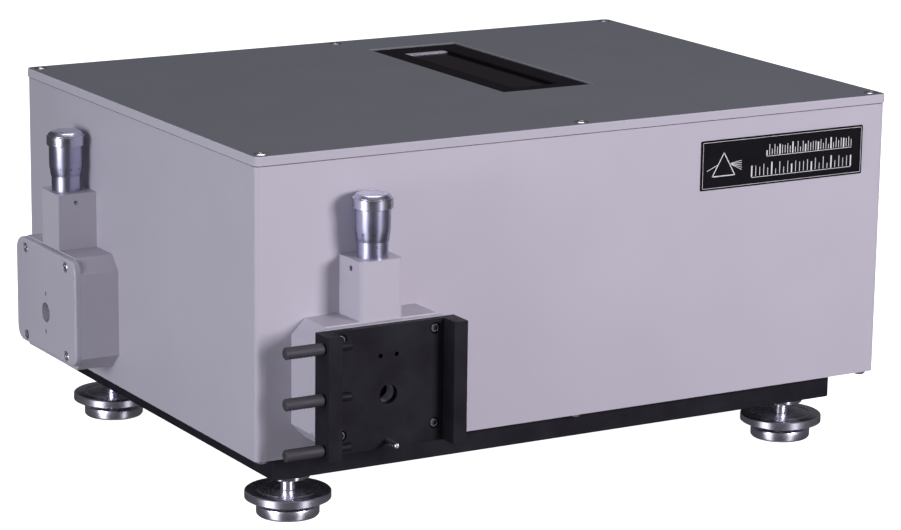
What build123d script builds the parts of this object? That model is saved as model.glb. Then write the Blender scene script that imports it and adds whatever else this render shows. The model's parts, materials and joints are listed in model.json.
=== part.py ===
from build123d import *
import os
from math import hypot, radians, sin

# Bench-top grating monochromator: a sheet-metal case with a thick lid and viewing window, on a
# heavy base plate with four levelling feet. Two identical micrometer slit units (entrance on
# the left wall, exit on the front wall) and the optics and sine drive inside.
#
# Millimetres, +Z up, X along the front, Y towards the back. The origin is the centre of the
# bounding box at the surface the instrument stands on. Heights and places in this file are
# counted from the case's left front bottom corner, which spot() turns into the model's frame.

os.makedirs("parts", exist_ok=True)

# ---- driving dimensions ----
CASE_WIDTH, CASE_DEPTH, CASE_HEIGHT = 400.0, 292.0, 156.9
SHEET = 2.0
CASE_EDGE = 3.0
GROUND_GAP = 38.0            # case underside above the ground

GASKET, GASKET_INSET = 0.6, 0.6
LID = 5.0
LID_OVERHANG, LID_CORNER, LID_EDGE = 0.75, 4.0, 0.9
LID_UNDER = CASE_HEIGHT + GASKET
LID_TOP = LID_UNDER + LID

AXIS_HEIGHT = 37.0           # optical axis above the case underside
EXIT_X = 61.5                # exit slit along the front wall
ENTRANCE_Y = 210.0           # entrance slit along the left wall

HOUSING_WIDTH = 82.0
HOUSING_LOW, HOUSING_HIGH = -26.5, 38.0      # from the optical axis
HOUSING_DEPTH = 22.5
HOUSING_CHAMFER = 8.0
HOUSING_WALL = 4.0
COVER = 4.0
COVER_LOW, COVER_HIGH = -23.6, 37.3
COVER_CORNER, COVER_EDGE = 8.0, 1.5
APERTURE_RADIUS = 5.6
SCREW_SPAN_X, SCREW_SPAN_Z, SCREW_MIDDLE = 55.5, 51.3, 6.5

HOLDER_LOW, HOLDER_HIGH = -29.0, 37.0
HOLDER_FLOOR = 4.0
RIM_WIDTH, RIM_HEIGHT = 8.0, 11.0
HOLDER_BACK = HOUSING_DEPTH + COVER
HOLDER_FACE = HOLDER_BACK + HOLDER_FLOOR
HOLDER_FRONT = HOLDER_FACE + RIM_HEIGHT
PIN_REACH = HOLDER_FRONT + 1.0
CONNECTOR_REACH = 4.0

MICROMETER_OFFSET = 12.5     # micrometer axis out from the wall
TOWER_WIDTH, TOWER_DEPTH, TOWER_EDGE = 25.5, 23.0, 3.0
TOWER_TOP = 69.7             # from the optical axis
SLEEVE_RADIUS, SPINDLE_RADIUS = 8.25, 3.2
RUNNING, FIT = 0.08, 0.05    # radial clearance of shafts in their bores, and of fixed fits

PLATE_LEFT, PLATE_RIGHT, PLATE_FRONT, PLATE_BACK = 15.0, 376.0, 10.0, 277.0
PLATE = 15.0
FOOT_PLACES = {
    "front_left": (30.0, 22.0), "front_right": (351.0, 22.0),
    "rear_left": (30.0, 243.0), "rear_right": (351.0, 243.0),
}

SCREW_X = 240.0              # lead screw under the window
SCREW_HEIGHT = 112.0
GRATING_X, GRATING_Y = 102.0, 118.0
ARM = 138.0                  # sine arm, grating axis to roller
ARM_ANGLE = 18.0             # sine arm from the X axis at rest
DECK_LOW, DECK_HIGH = 80.0, 86.0

# ---- the model's frame ----
LEFT = (HOLDER_BACK - CASE_WIDTH - LID_OVERHANG) / 2
FRONT = (PIN_REACH - CASE_DEPTH - CONNECTOR_REACH) / 2


def spot(x, y, z=0.0):
    """Gives the model's place of a point counted from the case's corner."""
    return Vector(LEFT + x, FRONT + y, GROUND_GAP + z)


def level(z):
    """Gives a level plane whose origin is the case's corner, raised by z."""
    return Plane(origin=spot(0, 0, z))


def wall_plane(unit, out=0.0):
    """Gives the plane of a slit unit's wall on its optical axis, moved outwards."""
    if unit == "exit":
        return Plane(origin=spot(EXIT_X, -out, AXIS_HEIGHT), x_dir=(1, 0, 0), z_dir=(0, -1, 0))
    return Plane(origin=spot(-out, ENTRANCE_Y, AXIS_HEIGHT), x_dir=(0, -1, 0), z_dir=(-1, 0, 0))


def micrometer_plane(unit, height):
    """Gives the level plane on a unit's micrometer axis, at a height above the optical axis."""
    wall = wall_plane(unit)
    centre = wall.from_local_coords((0, height, MICROMETER_OFFSET))
    return Plane(origin=centre, x_dir=wall.x_dir, z_dir=(0, 0, 1))


def slab(low, high, mode=Mode.ADD):
    """Adds or cuts a box between two corners counted from the case's corner."""
    size = [top - bottom for bottom, top in zip(low, high)]
    with Locations(spot(*[(bottom + top) / 2 for bottom, top in zip(low, high)])):
        Box(*size, mode=mode)


def rod(plane, radius, length, mode=Mode.ADD):
    """Adds or cuts a cylinder that stands on a plane's origin."""
    with Locations(plane.location):
        Cylinder(radius, length, align=(Align.CENTER, Align.CENTER, Align.MIN), mode=mode)


def turned(plane, outline, mode=Mode.ADD):
    """Adds or cuts a turned solid: the outline is (radius, height) points above the plane."""
    side = Plane(origin=plane.origin, x_dir=plane.x_dir, z_dir=plane.x_dir.cross(plane.z_dir))
    with BuildSketch(side) as profile:
        with BuildLine():
            Polyline(*outline, close=True)
        make_face()
    revolve(profile.sketch, axis=Axis(plane.origin, plane.z_dir), mode=mode)


def upright(x, y, z):
    """Gives a level plane with its origin at a point."""
    return Plane(origin=spot(x, y, z))


def hanging(x, y, z):
    """Gives a plane at a point that faces down."""
    return Plane(origin=spot(x, y, z), x_dir=(1, 0, 0), z_dir=(0, 0, -1))


def finish(piece, name):
    """Names a finished piece and writes its file."""
    piece.part.label = name
    export_step(piece.part, f"parts/{name}.step")


# ---- case ----
POST = 8.0
POST_INSET = SHEET + POST / 2
CASE_SCREWS = [
    (x, y) for x in (POST_INSET, CASE_WIDTH / 2, CASE_WIDTH - POST_INSET)
    for y in (POST_INSET, CASE_DEPTH - POST_INSET)
]
TAPPED = 12.0
CASE_SCREW_RADIUS, CASE_HOLE_RADIUS = 1.95, 2.05
DECK_POSTS = [(62.0, 125.0), (262.0, 125.0), (62.0, 262.0), (262.0, 262.0)]
PLATE_SCREW_RADIUS, PLATE_HOLE_RADIUS = 2.95, 3.1
LIGHT_PORT_RADIUS = 10.0
INLET_X, DATA_X, CONNECTOR_HEIGHT = 330.0, 250.0, 45.0

with BuildPart() as case_shell:
    with BuildSketch(level(0)):
        Rectangle(CASE_WIDTH, CASE_DEPTH, align=(Align.MIN, Align.MIN))
        fillet(vertices(), CASE_EDGE)
    extrude(amount=CASE_HEIGHT)
    with BuildSketch(level(SHEET)):
        with Locations((SHEET, SHEET)):
            Rectangle(CASE_WIDTH - 2 * SHEET, CASE_DEPTH - 2 * SHEET, align=(Align.MIN, Align.MIN))
        fillet(vertices(), CASE_EDGE - SHEET)
    extrude(amount=CASE_HEIGHT, mode=Mode.SUBTRACT)
    for port in ("entrance", "exit"):
        rod(wall_plane(port, -SHEET), LIGHT_PORT_RADIUS, SHEET, Mode.SUBTRACT)
    with BuildSketch(level(0)):
        with Locations(*CASE_SCREWS):
            Circle(CASE_HOLE_RADIUS)
        with Locations(*DECK_POSTS):
            Circle(PLATE_HOLE_RADIUS)
    extrude(amount=SHEET, mode=Mode.SUBTRACT)
    slab((INLET_X - 14, CASE_DEPTH - SHEET, CONNECTOR_HEIGHT - 12),
         (INLET_X + 14, CASE_DEPTH, CONNECTOR_HEIGHT + 12), Mode.SUBTRACT)
    slab((DATA_X - 10, CASE_DEPTH - SHEET, CONNECTOR_HEIGHT - 6),
         (DATA_X + 10, CASE_DEPTH, CONNECTOR_HEIGHT + 6), Mode.SUBTRACT)
finish(case_shell, "case_shell")

with BuildPart() as corner_posts:
    for x, y in CASE_SCREWS:
        with BuildSketch(level(SHEET)) as section:
            with Locations((x, y)):
                RectangleRounded(POST, POST, CASE_EDGE - SHEET + 0.1)
        extrude(section.sketch, amount=LID_UNDER - SHEET)
        for thread in (SHEET, LID_UNDER - TAPPED):
            rod(upright(x, y, thread), CASE_HOLE_RADIUS, TAPPED, Mode.SUBTRACT)
finish(corner_posts, "corner_posts")

with BuildPart() as lid_gasket:
    with BuildSketch(level(CASE_HEIGHT)):
        with Locations((CASE_WIDTH / 2, CASE_DEPTH / 2)):
            RectangleRounded(
                CASE_WIDTH - 2 * GASKET_INSET, CASE_DEPTH - 2 * GASKET_INSET, CASE_EDGE - GASKET_INSET)
            RectangleRounded(CASE_WIDTH - 2 * SHEET, CASE_DEPTH - 2 * SHEET, 1.0, mode=Mode.SUBTRACT)
    extrude(amount=GASKET)
finish(lid_gasket, "lid_gasket")

# ---- lid and window ----
WINDOW_X, WINDOW_Y = 237.5, 179.5            # middle of the window's opening
FRAME_X, FRAME_Y = 237.7, 179.0              # middle of the window's frame
FRAME_WIDTH, FRAME_LENGTH, FRAME_THICKNESS = 58.0, 156.0, 1.7
OPENING_WIDTH, OPENING_LENGTH = 29.0, 130.0
FRAME_SEAT, GLASS_SEAT = LID_TOP - 2.5, LID_TOP - 4.0
GLASS_WIDTH, GLASS_LENGTH = 41.0, 142.0
SEAT_PLAY = 0.6
COUNTERSINK_RADIUS, LID_HEAD_RADIUS, HEAD_CROWN, LID_SCREW = 4.2, 3.95, 0.45, 15.0

with BuildPart() as lid:
    with BuildSketch(level(LID_UNDER)):
        with Locations((CASE_WIDTH / 2, CASE_DEPTH / 2)):
            RectangleRounded(
                CASE_WIDTH + 2 * LID_OVERHANG, CASE_DEPTH + 2 * LID_OVERHANG, LID_CORNER)
    extrude(amount=LID)
    fillet(faces().sort_by(Axis.Z)[-1].edges(), LID_EDGE)
    for seat, width, length in (
        (FRAME_SEAT, FRAME_WIDTH + SEAT_PLAY, FRAME_LENGTH + SEAT_PLAY),
        (GLASS_SEAT, GLASS_WIDTH + SEAT_PLAY, GLASS_LENGTH + SEAT_PLAY),
        (LID_UNDER, OPENING_WIDTH + 5, OPENING_LENGTH + 5),
    ):
        with BuildSketch(level(seat)):
            with Locations((FRAME_X, FRAME_Y)):
                Rectangle(width, length)
        extrude(amount=LID, mode=Mode.SUBTRACT)
    rim = edges().group_by(Axis.Z)[-1].filter_by(GeomType.LINE)
    rim = rim.filter_by(lambda edge: edge.bounding_box().size.Y < FRAME_LENGTH + 2)
    chamfer(rim.filter_by(lambda edge: edge.bounding_box().size.X < FRAME_WIDTH + 2), LID_EDGE)
    with Locations(*[spot(x, y, LID_TOP) for x, y in CASE_SCREWS]):
        CounterSinkHole(CASE_HOLE_RADIUS, COUNTERSINK_RADIUS, depth=LID, counter_sink_angle=90)
finish(lid, "lid")

with BuildPart() as lid_screws:
    for x, y in CASE_SCREWS:
        turned(upright(x, y, LID_TOP), [
            (0, -LID_SCREW), (CASE_SCREW_RADIUS, -LID_SCREW), (CASE_SCREW_RADIUS, -2.2),
            (LID_HEAD_RADIUS, -0.2), (LID_HEAD_RADIUS, 0), (3.2, 0.35), (0, HEAD_CROWN)])
        with BuildSketch(level(LID_TOP + HEAD_CROWN)) as drive:
            with Locations((x, y)):
                RegularPolygon(1.5, 6)
        extrude(drive.sketch, amount=-1.6, mode=Mode.SUBTRACT)
finish(lid_screws, "lid_screws")

with BuildPart() as window_frame:
    with BuildSketch(level(FRAME_SEAT)):
        with Locations((FRAME_X, FRAME_Y)):
            RectangleRounded(FRAME_WIDTH, FRAME_LENGTH, 1.0)
        with Locations((WINDOW_X, WINDOW_Y)):
            RectangleRounded(OPENING_WIDTH, OPENING_LENGTH, 1.5, mode=Mode.SUBTRACT)
    extrude(amount=FRAME_THICKNESS)
    chamfer(faces().sort_by(Axis.Z)[-1].inner_wires()[0].edges(), 0.8)
finish(window_frame, "window_frame")

with BuildPart() as window_glass:
    with BuildSketch(level(GLASS_SEAT)):
        with Locations((FRAME_X, FRAME_Y)):
            Rectangle(GLASS_WIDTH, GLASS_LENGTH)
    extrude(amount=FRAME_SEAT - GLASS_SEAT)
finish(window_glass, "window_glass")

NAMEPLATE_LEFT, NAMEPLATE_RIGHT, NAMEPLATE_LOW, NAMEPLATE_HIGH = 274.5, 384.5, 118.0, 146.0
NAMEPLATE = 0.8
with BuildPart() as nameplate:
    slab((NAMEPLATE_LEFT, -NAMEPLATE, NAMEPLATE_LOW), (NAMEPLATE_RIGHT, 0, NAMEPLATE_HIGH))
    fillet(edges().filter_by(Axis.Y), 0.8)
finish(nameplate, "nameplate")

# ---- base plate, feet and fasteners from below ----
BUSHING_RADIUS, FLANGE_RADIUS, FLANGE, BUSHING = 8.9, 12.0, 2.0, 13.0
STUD_RADIUS = 3.97
WHEEL_RADIUS, WHEEL_LOW, WHEEL_HIGH, STUD_TOP, STUD_END = 23.25, -29.0, -24.0, -6.5, -34.95
PAD_RADIUS, PAD_LOW, PAD_HIGH, SOCKET_FLOOR = 17.0, -38.0, -32.0, -35.0
COUNTERBORE_RADIUS, COUNTERBORE, CAP_HEAD_RADIUS, CAP_HEAD_LOW = 5.3, 6.5, 5.0, 0.5

with BuildPart() as base_plate:
    with BuildSketch(level(-PLATE)):
        with Locations((PLATE_LEFT, PLATE_FRONT)):
            Rectangle(PLATE_RIGHT - PLATE_LEFT, PLATE_BACK - PLATE_FRONT, align=(Align.MIN, Align.MIN))
        fillet(vertices(), 1.5)
    extrude(amount=PLATE)
    chamfer(faces().sort_by(Axis.Z)[0].edges(), 0.5)
    for x, y in FOOT_PLACES.values():
        rod(upright(x, y, -PLATE), BUSHING_RADIUS + FIT, PLATE, Mode.SUBTRACT)
    with Locations(*[hanging(x, y, -PLATE).location for x, y in DECK_POSTS]):
        CounterBoreHole(PLATE_HOLE_RADIUS, COUNTERBORE_RADIUS, COUNTERBORE, depth=PLATE)
finish(base_plate, "base_plate")

with BuildPart() as foot_bushings:
    for x, y in FOOT_PLACES.values():
        turned(upright(x, y, -PLATE), [
            (STUD_RADIUS + RUNNING, -FLANGE), (FLANGE_RADIUS - 0.4, -FLANGE),
            (FLANGE_RADIUS, -FLANGE + 0.4), (FLANGE_RADIUS, 0), (BUSHING_RADIUS, 0),
            (BUSHING_RADIUS, BUSHING), (STUD_RADIUS + RUNNING, BUSHING)])
finish(foot_bushings, "foot_bushings")

for place, (x, y) in FOOT_PLACES.items():
    with BuildPart() as foot_wheel:
        turned(upright(x, y, 0), [
            (0, STUD_END), (STUD_RADIUS, STUD_END), (STUD_RADIUS, WHEEL_LOW),
            (WHEEL_RADIUS - 0.8, WHEEL_LOW), (WHEEL_RADIUS, WHEEL_LOW + 0.8),
            (WHEEL_RADIUS, WHEEL_HIGH - 0.8), (WHEEL_RADIUS - 0.8, WHEEL_HIGH),
            (STUD_RADIUS, WHEEL_HIGH), (STUD_RADIUS, STUD_TOP - 0.6),
            (STUD_RADIUS - 0.6, STUD_TOP), (0, STUD_TOP)])
    finish(foot_wheel, f"foot_wheel_{place}")
    with BuildPart() as foot_pad:
        turned(upright(x, y, 0), [
            (0, PAD_LOW), (PAD_RADIUS - 1.2, PAD_LOW), (PAD_RADIUS, PAD_LOW + 1.2),
            (PAD_RADIUS, PAD_HIGH - 0.5), (PAD_RADIUS - 0.5, PAD_HIGH),
            (STUD_RADIUS + RUNNING, PAD_HIGH), (STUD_RADIUS + RUNNING, SOCKET_FLOOR),
            (0, SOCKET_FLOOR)])
    finish(foot_pad, f"foot_pad_{place}")

PAN_HEAD, SLOT_DEPTH, SLOT_HALF, SLOT_REACH = 2.4, 1.1, 0.4, 2.2

with BuildPart() as underside_screws:
    for x, y in CASE_SCREWS:
        turned(upright(x, y, 0), [
            (0, -PAN_HEAD), (2.6, -PAN_HEAD), (3.6, -1.6), (3.8, -0.8), (3.8, 0),
            (CASE_SCREW_RADIUS, 0), (CASE_SCREW_RADIUS, TAPPED), (0, TAPPED)])
        for half_x, half_y in ((SLOT_REACH, SLOT_HALF), (SLOT_HALF, SLOT_REACH)):
            slab((x - half_x, y - half_y, -PAN_HEAD),
                 (x + half_x, y + half_y, SLOT_DEPTH - PAN_HEAD), Mode.SUBTRACT)
    for x, y in DECK_POSTS:
        turned(upright(x, y, -PLATE), [
            (0, CAP_HEAD_LOW), (CAP_HEAD_RADIUS - 0.3, CAP_HEAD_LOW), (CAP_HEAD_RADIUS, CAP_HEAD_LOW + 0.3),
            (CAP_HEAD_RADIUS, COUNTERBORE), (PLATE_SCREW_RADIUS, COUNTERBORE),
            (PLATE_SCREW_RADIUS, 28), (0, 28)])
        with BuildSketch(level(CAP_HEAD_LOW - PLATE)) as drive:
            with Locations((x, y)):
                RegularPolygon(2.9, 6)
        extrude(drive.sketch, amount=3, mode=Mode.SUBTRACT)
finish(underside_screws, "underside_screws")

# ---- rear connectors ----
# Half width and half height of each box about its connector's axis
INLET_HALF, INLET_DEPTH = (13.5, 11.5), 18.0
INLET_FLANGE_HALF, INLET_FLANGE = (24.0, 14.0), 3.0
INLET_WELL_HALF, INLET_WELL = (12.0, 9.0), 13.0
BLADES, BLADE_HALF, BLADE_ROOT, BLADE_END = ((-6, -1.5), (0, 2.5), (6, -1.5)), (1.0, 2.0), 14.0, 1.0
DATA_FLANGE_HALF, DATA_FLANGE = (15.0, 6.0), 1.0
DATA_HALF, DATA_DEPTH, DATA_WELL = (8.5, 4.3), 8.0, 2.0
DATA_WELL_HALF = (7.5, 3.3)


def rear_block(x, half_x, half_z, start, end, mode=Mode.ADD, rise=0.0):
    """Adds or cuts a box about a connector's axis, from start to end behind the rear wall."""
    slab((x - half_x, CASE_DEPTH + start, CONNECTOR_HEIGHT + rise - half_z),
         (x + half_x, CASE_DEPTH + end, CONNECTOR_HEIGHT + rise + half_z), mode)


with BuildPart() as rear_connectors:
    rear_block(INLET_X, *INLET_HALF, -INLET_DEPTH, 0)
    rear_block(INLET_X, *INLET_FLANGE_HALF, 0, INLET_FLANGE)
    rear_block(INLET_X, *INLET_WELL_HALF, -INLET_WELL, INLET_FLANGE, Mode.SUBTRACT)
    for blade_x, rise in BLADES:
        rear_block(INLET_X + blade_x, *BLADE_HALF, -BLADE_ROOT, -BLADE_END, rise=rise)
    rear_block(DATA_X, *DATA_FLANGE_HALF, 0, DATA_FLANGE)
    rear_block(DATA_X, *DATA_HALF, -DATA_DEPTH, CONNECTOR_REACH)
    rear_block(DATA_X, *DATA_WELL_HALF, -DATA_WELL, CONNECTOR_REACH, Mode.SUBTRACT)
finish(rear_connectors, "rear_connectors")

# ---- slit units ----
INNER_X = HOUSING_WIDTH / 2 - HOUSING_WALL
INNER_LOW, INNER_HIGH = HOUSING_LOW + HOUSING_WALL, HOUSING_HIGH - HOUSING_WALL
INNER_DEPTH = HOUSING_DEPTH - HOUSING_WALL
SPINDLE_BORE = SPINDLE_RADIUS + RUNNING
TOWER_FLOOR = 55.0           # where the sleeve stands in the tower
SET_SCREW_HEIGHT = TOWER_TOP - 5.0
SMALL_SCREW_RADIUS, SMALL_HOLE_RADIUS = 1.45, 1.55
HEAD_RADIUS, HEAD, SINK_RADIUS, SINK = 2.9, 2.0, 3.1, 2.1      # socket heads, sunk flush
COVER_SCREWS = [
    (side_x * SCREW_SPAN_X / 2, SCREW_MIDDLE + side_z * SCREW_SPAN_Z / 2)
    for side_x in (-1, 1) for side_z in (-1, 1)
]
SLEEVE_TOP = 94.5
THIMBLE_LOW, THIMBLE_TAPER, THIMBLE_TOP, THIMBLE_CEILING = 78.4, 85.1, 103.4, 97.2
THIMBLE_RADIUS, TAPER_RADIUS, THIMBLE_BORE = 9.5, 8.65, SLEEVE_RADIUS + 0.1
RING_LOW, RING_HIGH, RING_RADIUS = 95.7, 100.3, 10.7
CAP_LOW, CAP_EDGE, CAP_RADIUS = 100.4, 101.4, 9.9
SPINDLE_TOP = 100.4
GUIDE_HOLE_HEIGHT, GUIDE_HOLE_RADIUS = 11.0, 1.25
WEDGE_LOW, WEDGE_HIGH, WEDGE_NARROW, WEDGE_SLOPE = 17.5, 29.5, 3.0, 0.5
WEDGE_BACK, WEDGE_FRONT = 11.0, 14.0
ARM_BACK, ARM_FRONT, BLADE_FRONT = 9.4, 14.2, 17.2
RAIL_BACK, RAIL_FRONT = 14.4, INNER_DEPTH
HALF_SLIT = 0.27             # half of the slit at rest, with the edges' own clearance
BLADE_HALF_HEIGHT, BLADE_WIDTH, KNIFE_BEVEL = 14.0, 20.0, 2.6
JAW_INNER, JAW_OUTER, JAW_LOW, JAW_HIGH = 5.0, 12.0, -4.0, 28.0
WEDGE_PLAY = 0.1


def wedge_half_width(height):
    """Gives half the wedge's width at a height above the optical axis."""
    return WEDGE_NARROW + WEDGE_SLOPE * (height - WEDGE_LOW)


def outline_box(plane, low, high, depth, mode=Mode.ADD):
    """Adds or cuts a rectangle between two corners on a plane, to a depth."""
    with BuildSketch(plane) as outline:
        with Locations(((low[0] + high[0]) / 2, (low[1] + high[1]) / 2)):
            Rectangle(high[0] - low[0], high[1] - low[1])
    extrude(outline.sketch, amount=depth, mode=mode)


def sink_heads(unit, face):
    """Cuts the recesses of a slit unit's four screw heads into a face, out from its wall."""
    with BuildSketch(wall_plane(unit, face - SINK)) as recesses:
        with Locations(*COVER_SCREWS):
            Circle(SINK_RADIUS)
    extrude(recesses.sketch, amount=SINK, mode=Mode.SUBTRACT)


for unit in ("entrance", "exit"):
    wall = wall_plane(unit)

    with BuildPart() as housing:
        with BuildSketch(wall):
            with Locations((0, (HOUSING_LOW + HOUSING_HIGH) / 2)):
                Rectangle(HOUSING_WIDTH, HOUSING_HIGH - HOUSING_LOW)
            chamfer(vertices(), HOUSING_CHAMFER)
        extrude(amount=HOUSING_DEPTH)
        with BuildSketch(wall):
            with Locations((0, (INNER_LOW + INNER_HIGH) / 2)):
                Rectangle(2 * INNER_X, INNER_HIGH - INNER_LOW)
            chamfer(vertices(), HOUSING_CHAMFER - 1.5)
        extrude(amount=INNER_DEPTH, mode=Mode.SUBTRACT)
        rod(wall_plane(unit, INNER_DEPTH), APERTURE_RADIUS, HOUSING_WALL, Mode.SUBTRACT)
        rod(micrometer_plane(unit, INNER_HIGH), SPINDLE_BORE, HOUSING_WALL, Mode.SUBTRACT)
        with BuildSketch(wall_plane(unit, INNER_DEPTH)):
            with Locations(*COVER_SCREWS):
                Circle(SMALL_HOLE_RADIUS)
        extrude(amount=HOUSING_WALL, mode=Mode.SUBTRACT)
    finish(housing, f"{unit}_housing")

    with BuildPart() as cover:
        with BuildSketch(wall_plane(unit, HOUSING_DEPTH)):
            with Locations((0, (COVER_LOW + COVER_HIGH) / 2)):
                RectangleRounded(HOUSING_WIDTH, COVER_HIGH - COVER_LOW, COVER_CORNER)
        extrude(amount=COVER)
        front_edges = faces().sort_by(Axis(wall.origin, wall.z_dir))[-1].edges()
        if unit == "entrance":
            fillet(front_edges, COVER_EDGE)
        with BuildSketch(wall_plane(unit, HOUSING_DEPTH)):
            Circle(APERTURE_RADIUS)
            with Locations((0, GUIDE_HOLE_HEIGHT), (0, -GUIDE_HOLE_HEIGHT)):
                Circle(GUIDE_HOLE_RADIUS)
            with Locations(*COVER_SCREWS):
                Circle(SMALL_HOLE_RADIUS)
        extrude(amount=COVER, mode=Mode.SUBTRACT)
        if unit == "entrance":
            sink_heads(unit, HOLDER_BACK)
    finish(cover, f"{unit}_cover")

    with BuildPart() as tower:
        with BuildSketch(micrometer_plane(unit, HOUSING_HIGH)) as foot:
            with Locations((0, MICROMETER_OFFSET)):
                Rectangle(TOWER_WIDTH, TOWER_DEPTH, align=(Align.CENTER, Align.MAX))
            outer = foot.vertices().sort_by(Axis(wall.origin, wall.z_dir))[-2:]
            fillet(outer, TOWER_EDGE)
        extrude(amount=TOWER_TOP - HOUSING_HIGH)
        rod(micrometer_plane(unit, HOUSING_HIGH), SPINDLE_BORE, TOWER_TOP - HOUSING_HIGH,
            Mode.SUBTRACT)
        rod(micrometer_plane(unit, TOWER_FLOOR), SLEEVE_RADIUS + FIT, TOWER_TOP - TOWER_FLOOR,
            Mode.SUBTRACT)
        centre = wall.from_local_coords((-TOWER_WIDTH / 2, SET_SCREW_HEIGHT, MICROMETER_OFFSET))
        cross = Plane(origin=centre, z_dir=wall.x_dir)
        rod(cross, SMALL_HOLE_RADIUS, TOWER_WIDTH, Mode.SUBTRACT)
    finish(tower, f"{unit}_tower")

    with BuildPart() as sleeve:
        turned(micrometer_plane(unit, 0), [
            (SPINDLE_BORE, TOWER_FLOOR), (SLEEVE_RADIUS, TOWER_FLOOR),
            (SLEEVE_RADIUS, SLEEVE_TOP), (SPINDLE_BORE, SLEEVE_TOP)])
    finish(sleeve, f"{unit}_sleeve")

    with BuildPart() as spindle:
        rod(micrometer_plane(unit, WEDGE_HIGH), SPINDLE_RADIUS, SPINDLE_TOP - WEDGE_HIGH)
        with BuildSketch(wall_plane(unit, WEDGE_BACK)) as wedge:
            with BuildLine():
                Polyline(
                    (WEDGE_NARROW, WEDGE_LOW), (wedge_half_width(WEDGE_HIGH), WEDGE_HIGH),
                    (-wedge_half_width(WEDGE_HIGH), WEDGE_HIGH), (-WEDGE_NARROW, WEDGE_LOW), close=True)
            make_face()
        extrude(amount=WEDGE_FRONT - WEDGE_BACK)
    finish(spindle, f"{unit}_spindle")

    with BuildPart() as thimble:
        turned(micrometer_plane(unit, 0), [
            (THIMBLE_BORE, THIMBLE_LOW), (TAPER_RADIUS, THIMBLE_LOW), (THIMBLE_RADIUS, THIMBLE_TAPER),
            (THIMBLE_RADIUS, RING_LOW), (RING_RADIUS - 0.2, RING_LOW), (RING_RADIUS, RING_LOW + 0.3),
            (RING_RADIUS, RING_HIGH - 0.3), (RING_RADIUS - 0.3, RING_HIGH), (CAP_RADIUS, CAP_LOW),
            (CAP_RADIUS, CAP_EDGE), (CAP_RADIUS - 1.5, THIMBLE_TOP), (0, THIMBLE_TOP),
            (0, SPINDLE_TOP + 0.1), (SPINDLE_BORE, SPINDLE_TOP + 0.1),
            (SPINDLE_BORE, THIMBLE_CEILING), (THIMBLE_BORE, THIMBLE_CEILING)])
    finish(thimble, f"{unit}_thimble")

    for side, sign in (("left", -1), ("right", 1)):
        with BuildPart() as jaw:
            low, high = sorted((sign * HALF_SLIT, sign * BLADE_WIDTH))
            outline_box(wall_plane(unit, ARM_FRONT), (low, -BLADE_HALF_HEIGHT),
                        (high, BLADE_HALF_HEIGHT), BLADE_FRONT - ARM_FRONT)
            upright_edges = edges().filter_by(Axis.Z).sort_by(Axis(wall.origin, wall.x_dir * sign))
            knife_edge = upright_edges[:2].sort_by(Axis(wall.origin, wall.z_dir))[-1]
            chamfer(knife_edge, KNIFE_BEVEL)
            meets = WEDGE_LOW + (JAW_INNER - WEDGE_PLAY - WEDGE_NARROW) / WEDGE_SLOPE
            with BuildSketch(wall_plane(unit, ARM_BACK)) as arm:
                with BuildLine():
                    Polyline(
                        (sign * JAW_INNER, JAW_LOW), (sign * JAW_INNER, meets),
                        (sign * (wedge_half_width(JAW_HIGH) + WEDGE_PLAY), JAW_HIGH),
                        (sign * JAW_OUTER, JAW_HIGH), (sign * JAW_OUTER, JAW_LOW), close=True)
                make_face()
            extrude(amount=ARM_FRONT - ARM_BACK)
        finish(jaw, f"{unit}_jaw_{side}")

with BuildPart() as jaw_rails:
    for unit in ("entrance", "exit"):
        for sign in (-1, 1):
            low, high = sorted((sign * (BLADE_HALF_HEIGHT + 0.05), sign * 18))
            outline_box(wall_plane(unit, RAIL_BACK), (2 - INNER_X, low), (INNER_X - 2, high),
                        RAIL_FRONT - RAIL_BACK)
finish(jaw_rails, "jaw_rails")

# ---- accessory holder on the exit slit ----
THUMB_HEIGHTS = {"upper": 30.5, "middle": 3.5, "lower": -23.5}
THUMB_OUT = HOLDER_FACE + RIM_HEIGHT / 2
THUMB_RADIUS, THUMB_LENGTH, THUMB_SHANK, THUMB_GAP = 3.3, 22.0, 1.5, 0.6
RIM_OUTER, RIM_INNER = -HOUSING_WIDTH / 2, -HOUSING_WIDTH / 2 + RIM_WIDTH
TIP_RADIUS, TIP_REACH, TIP_START, TIP_SOCKET = 2.4, 8.0, 3.0, 4.0
SHANK_REACH = TIP_START + TIP_SOCKET - 0.1
GUIDE_HOLES = [(-4.75, 21.0), (4.75, 21.0)]
FLOOR_HOLE_RADIUS = 1.2
LOCATING_PIN, PIN_RADIUS, PIN_SEAT, PIN_ROOT_RADIUS = (-1.0, -25.0), 1.4, 3.0, 0.9
PIN_RELIEF, PIN_RELIEF_RADIUS = 0.3, 1.5     # recess round the pin, so a plate lies flat

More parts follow.
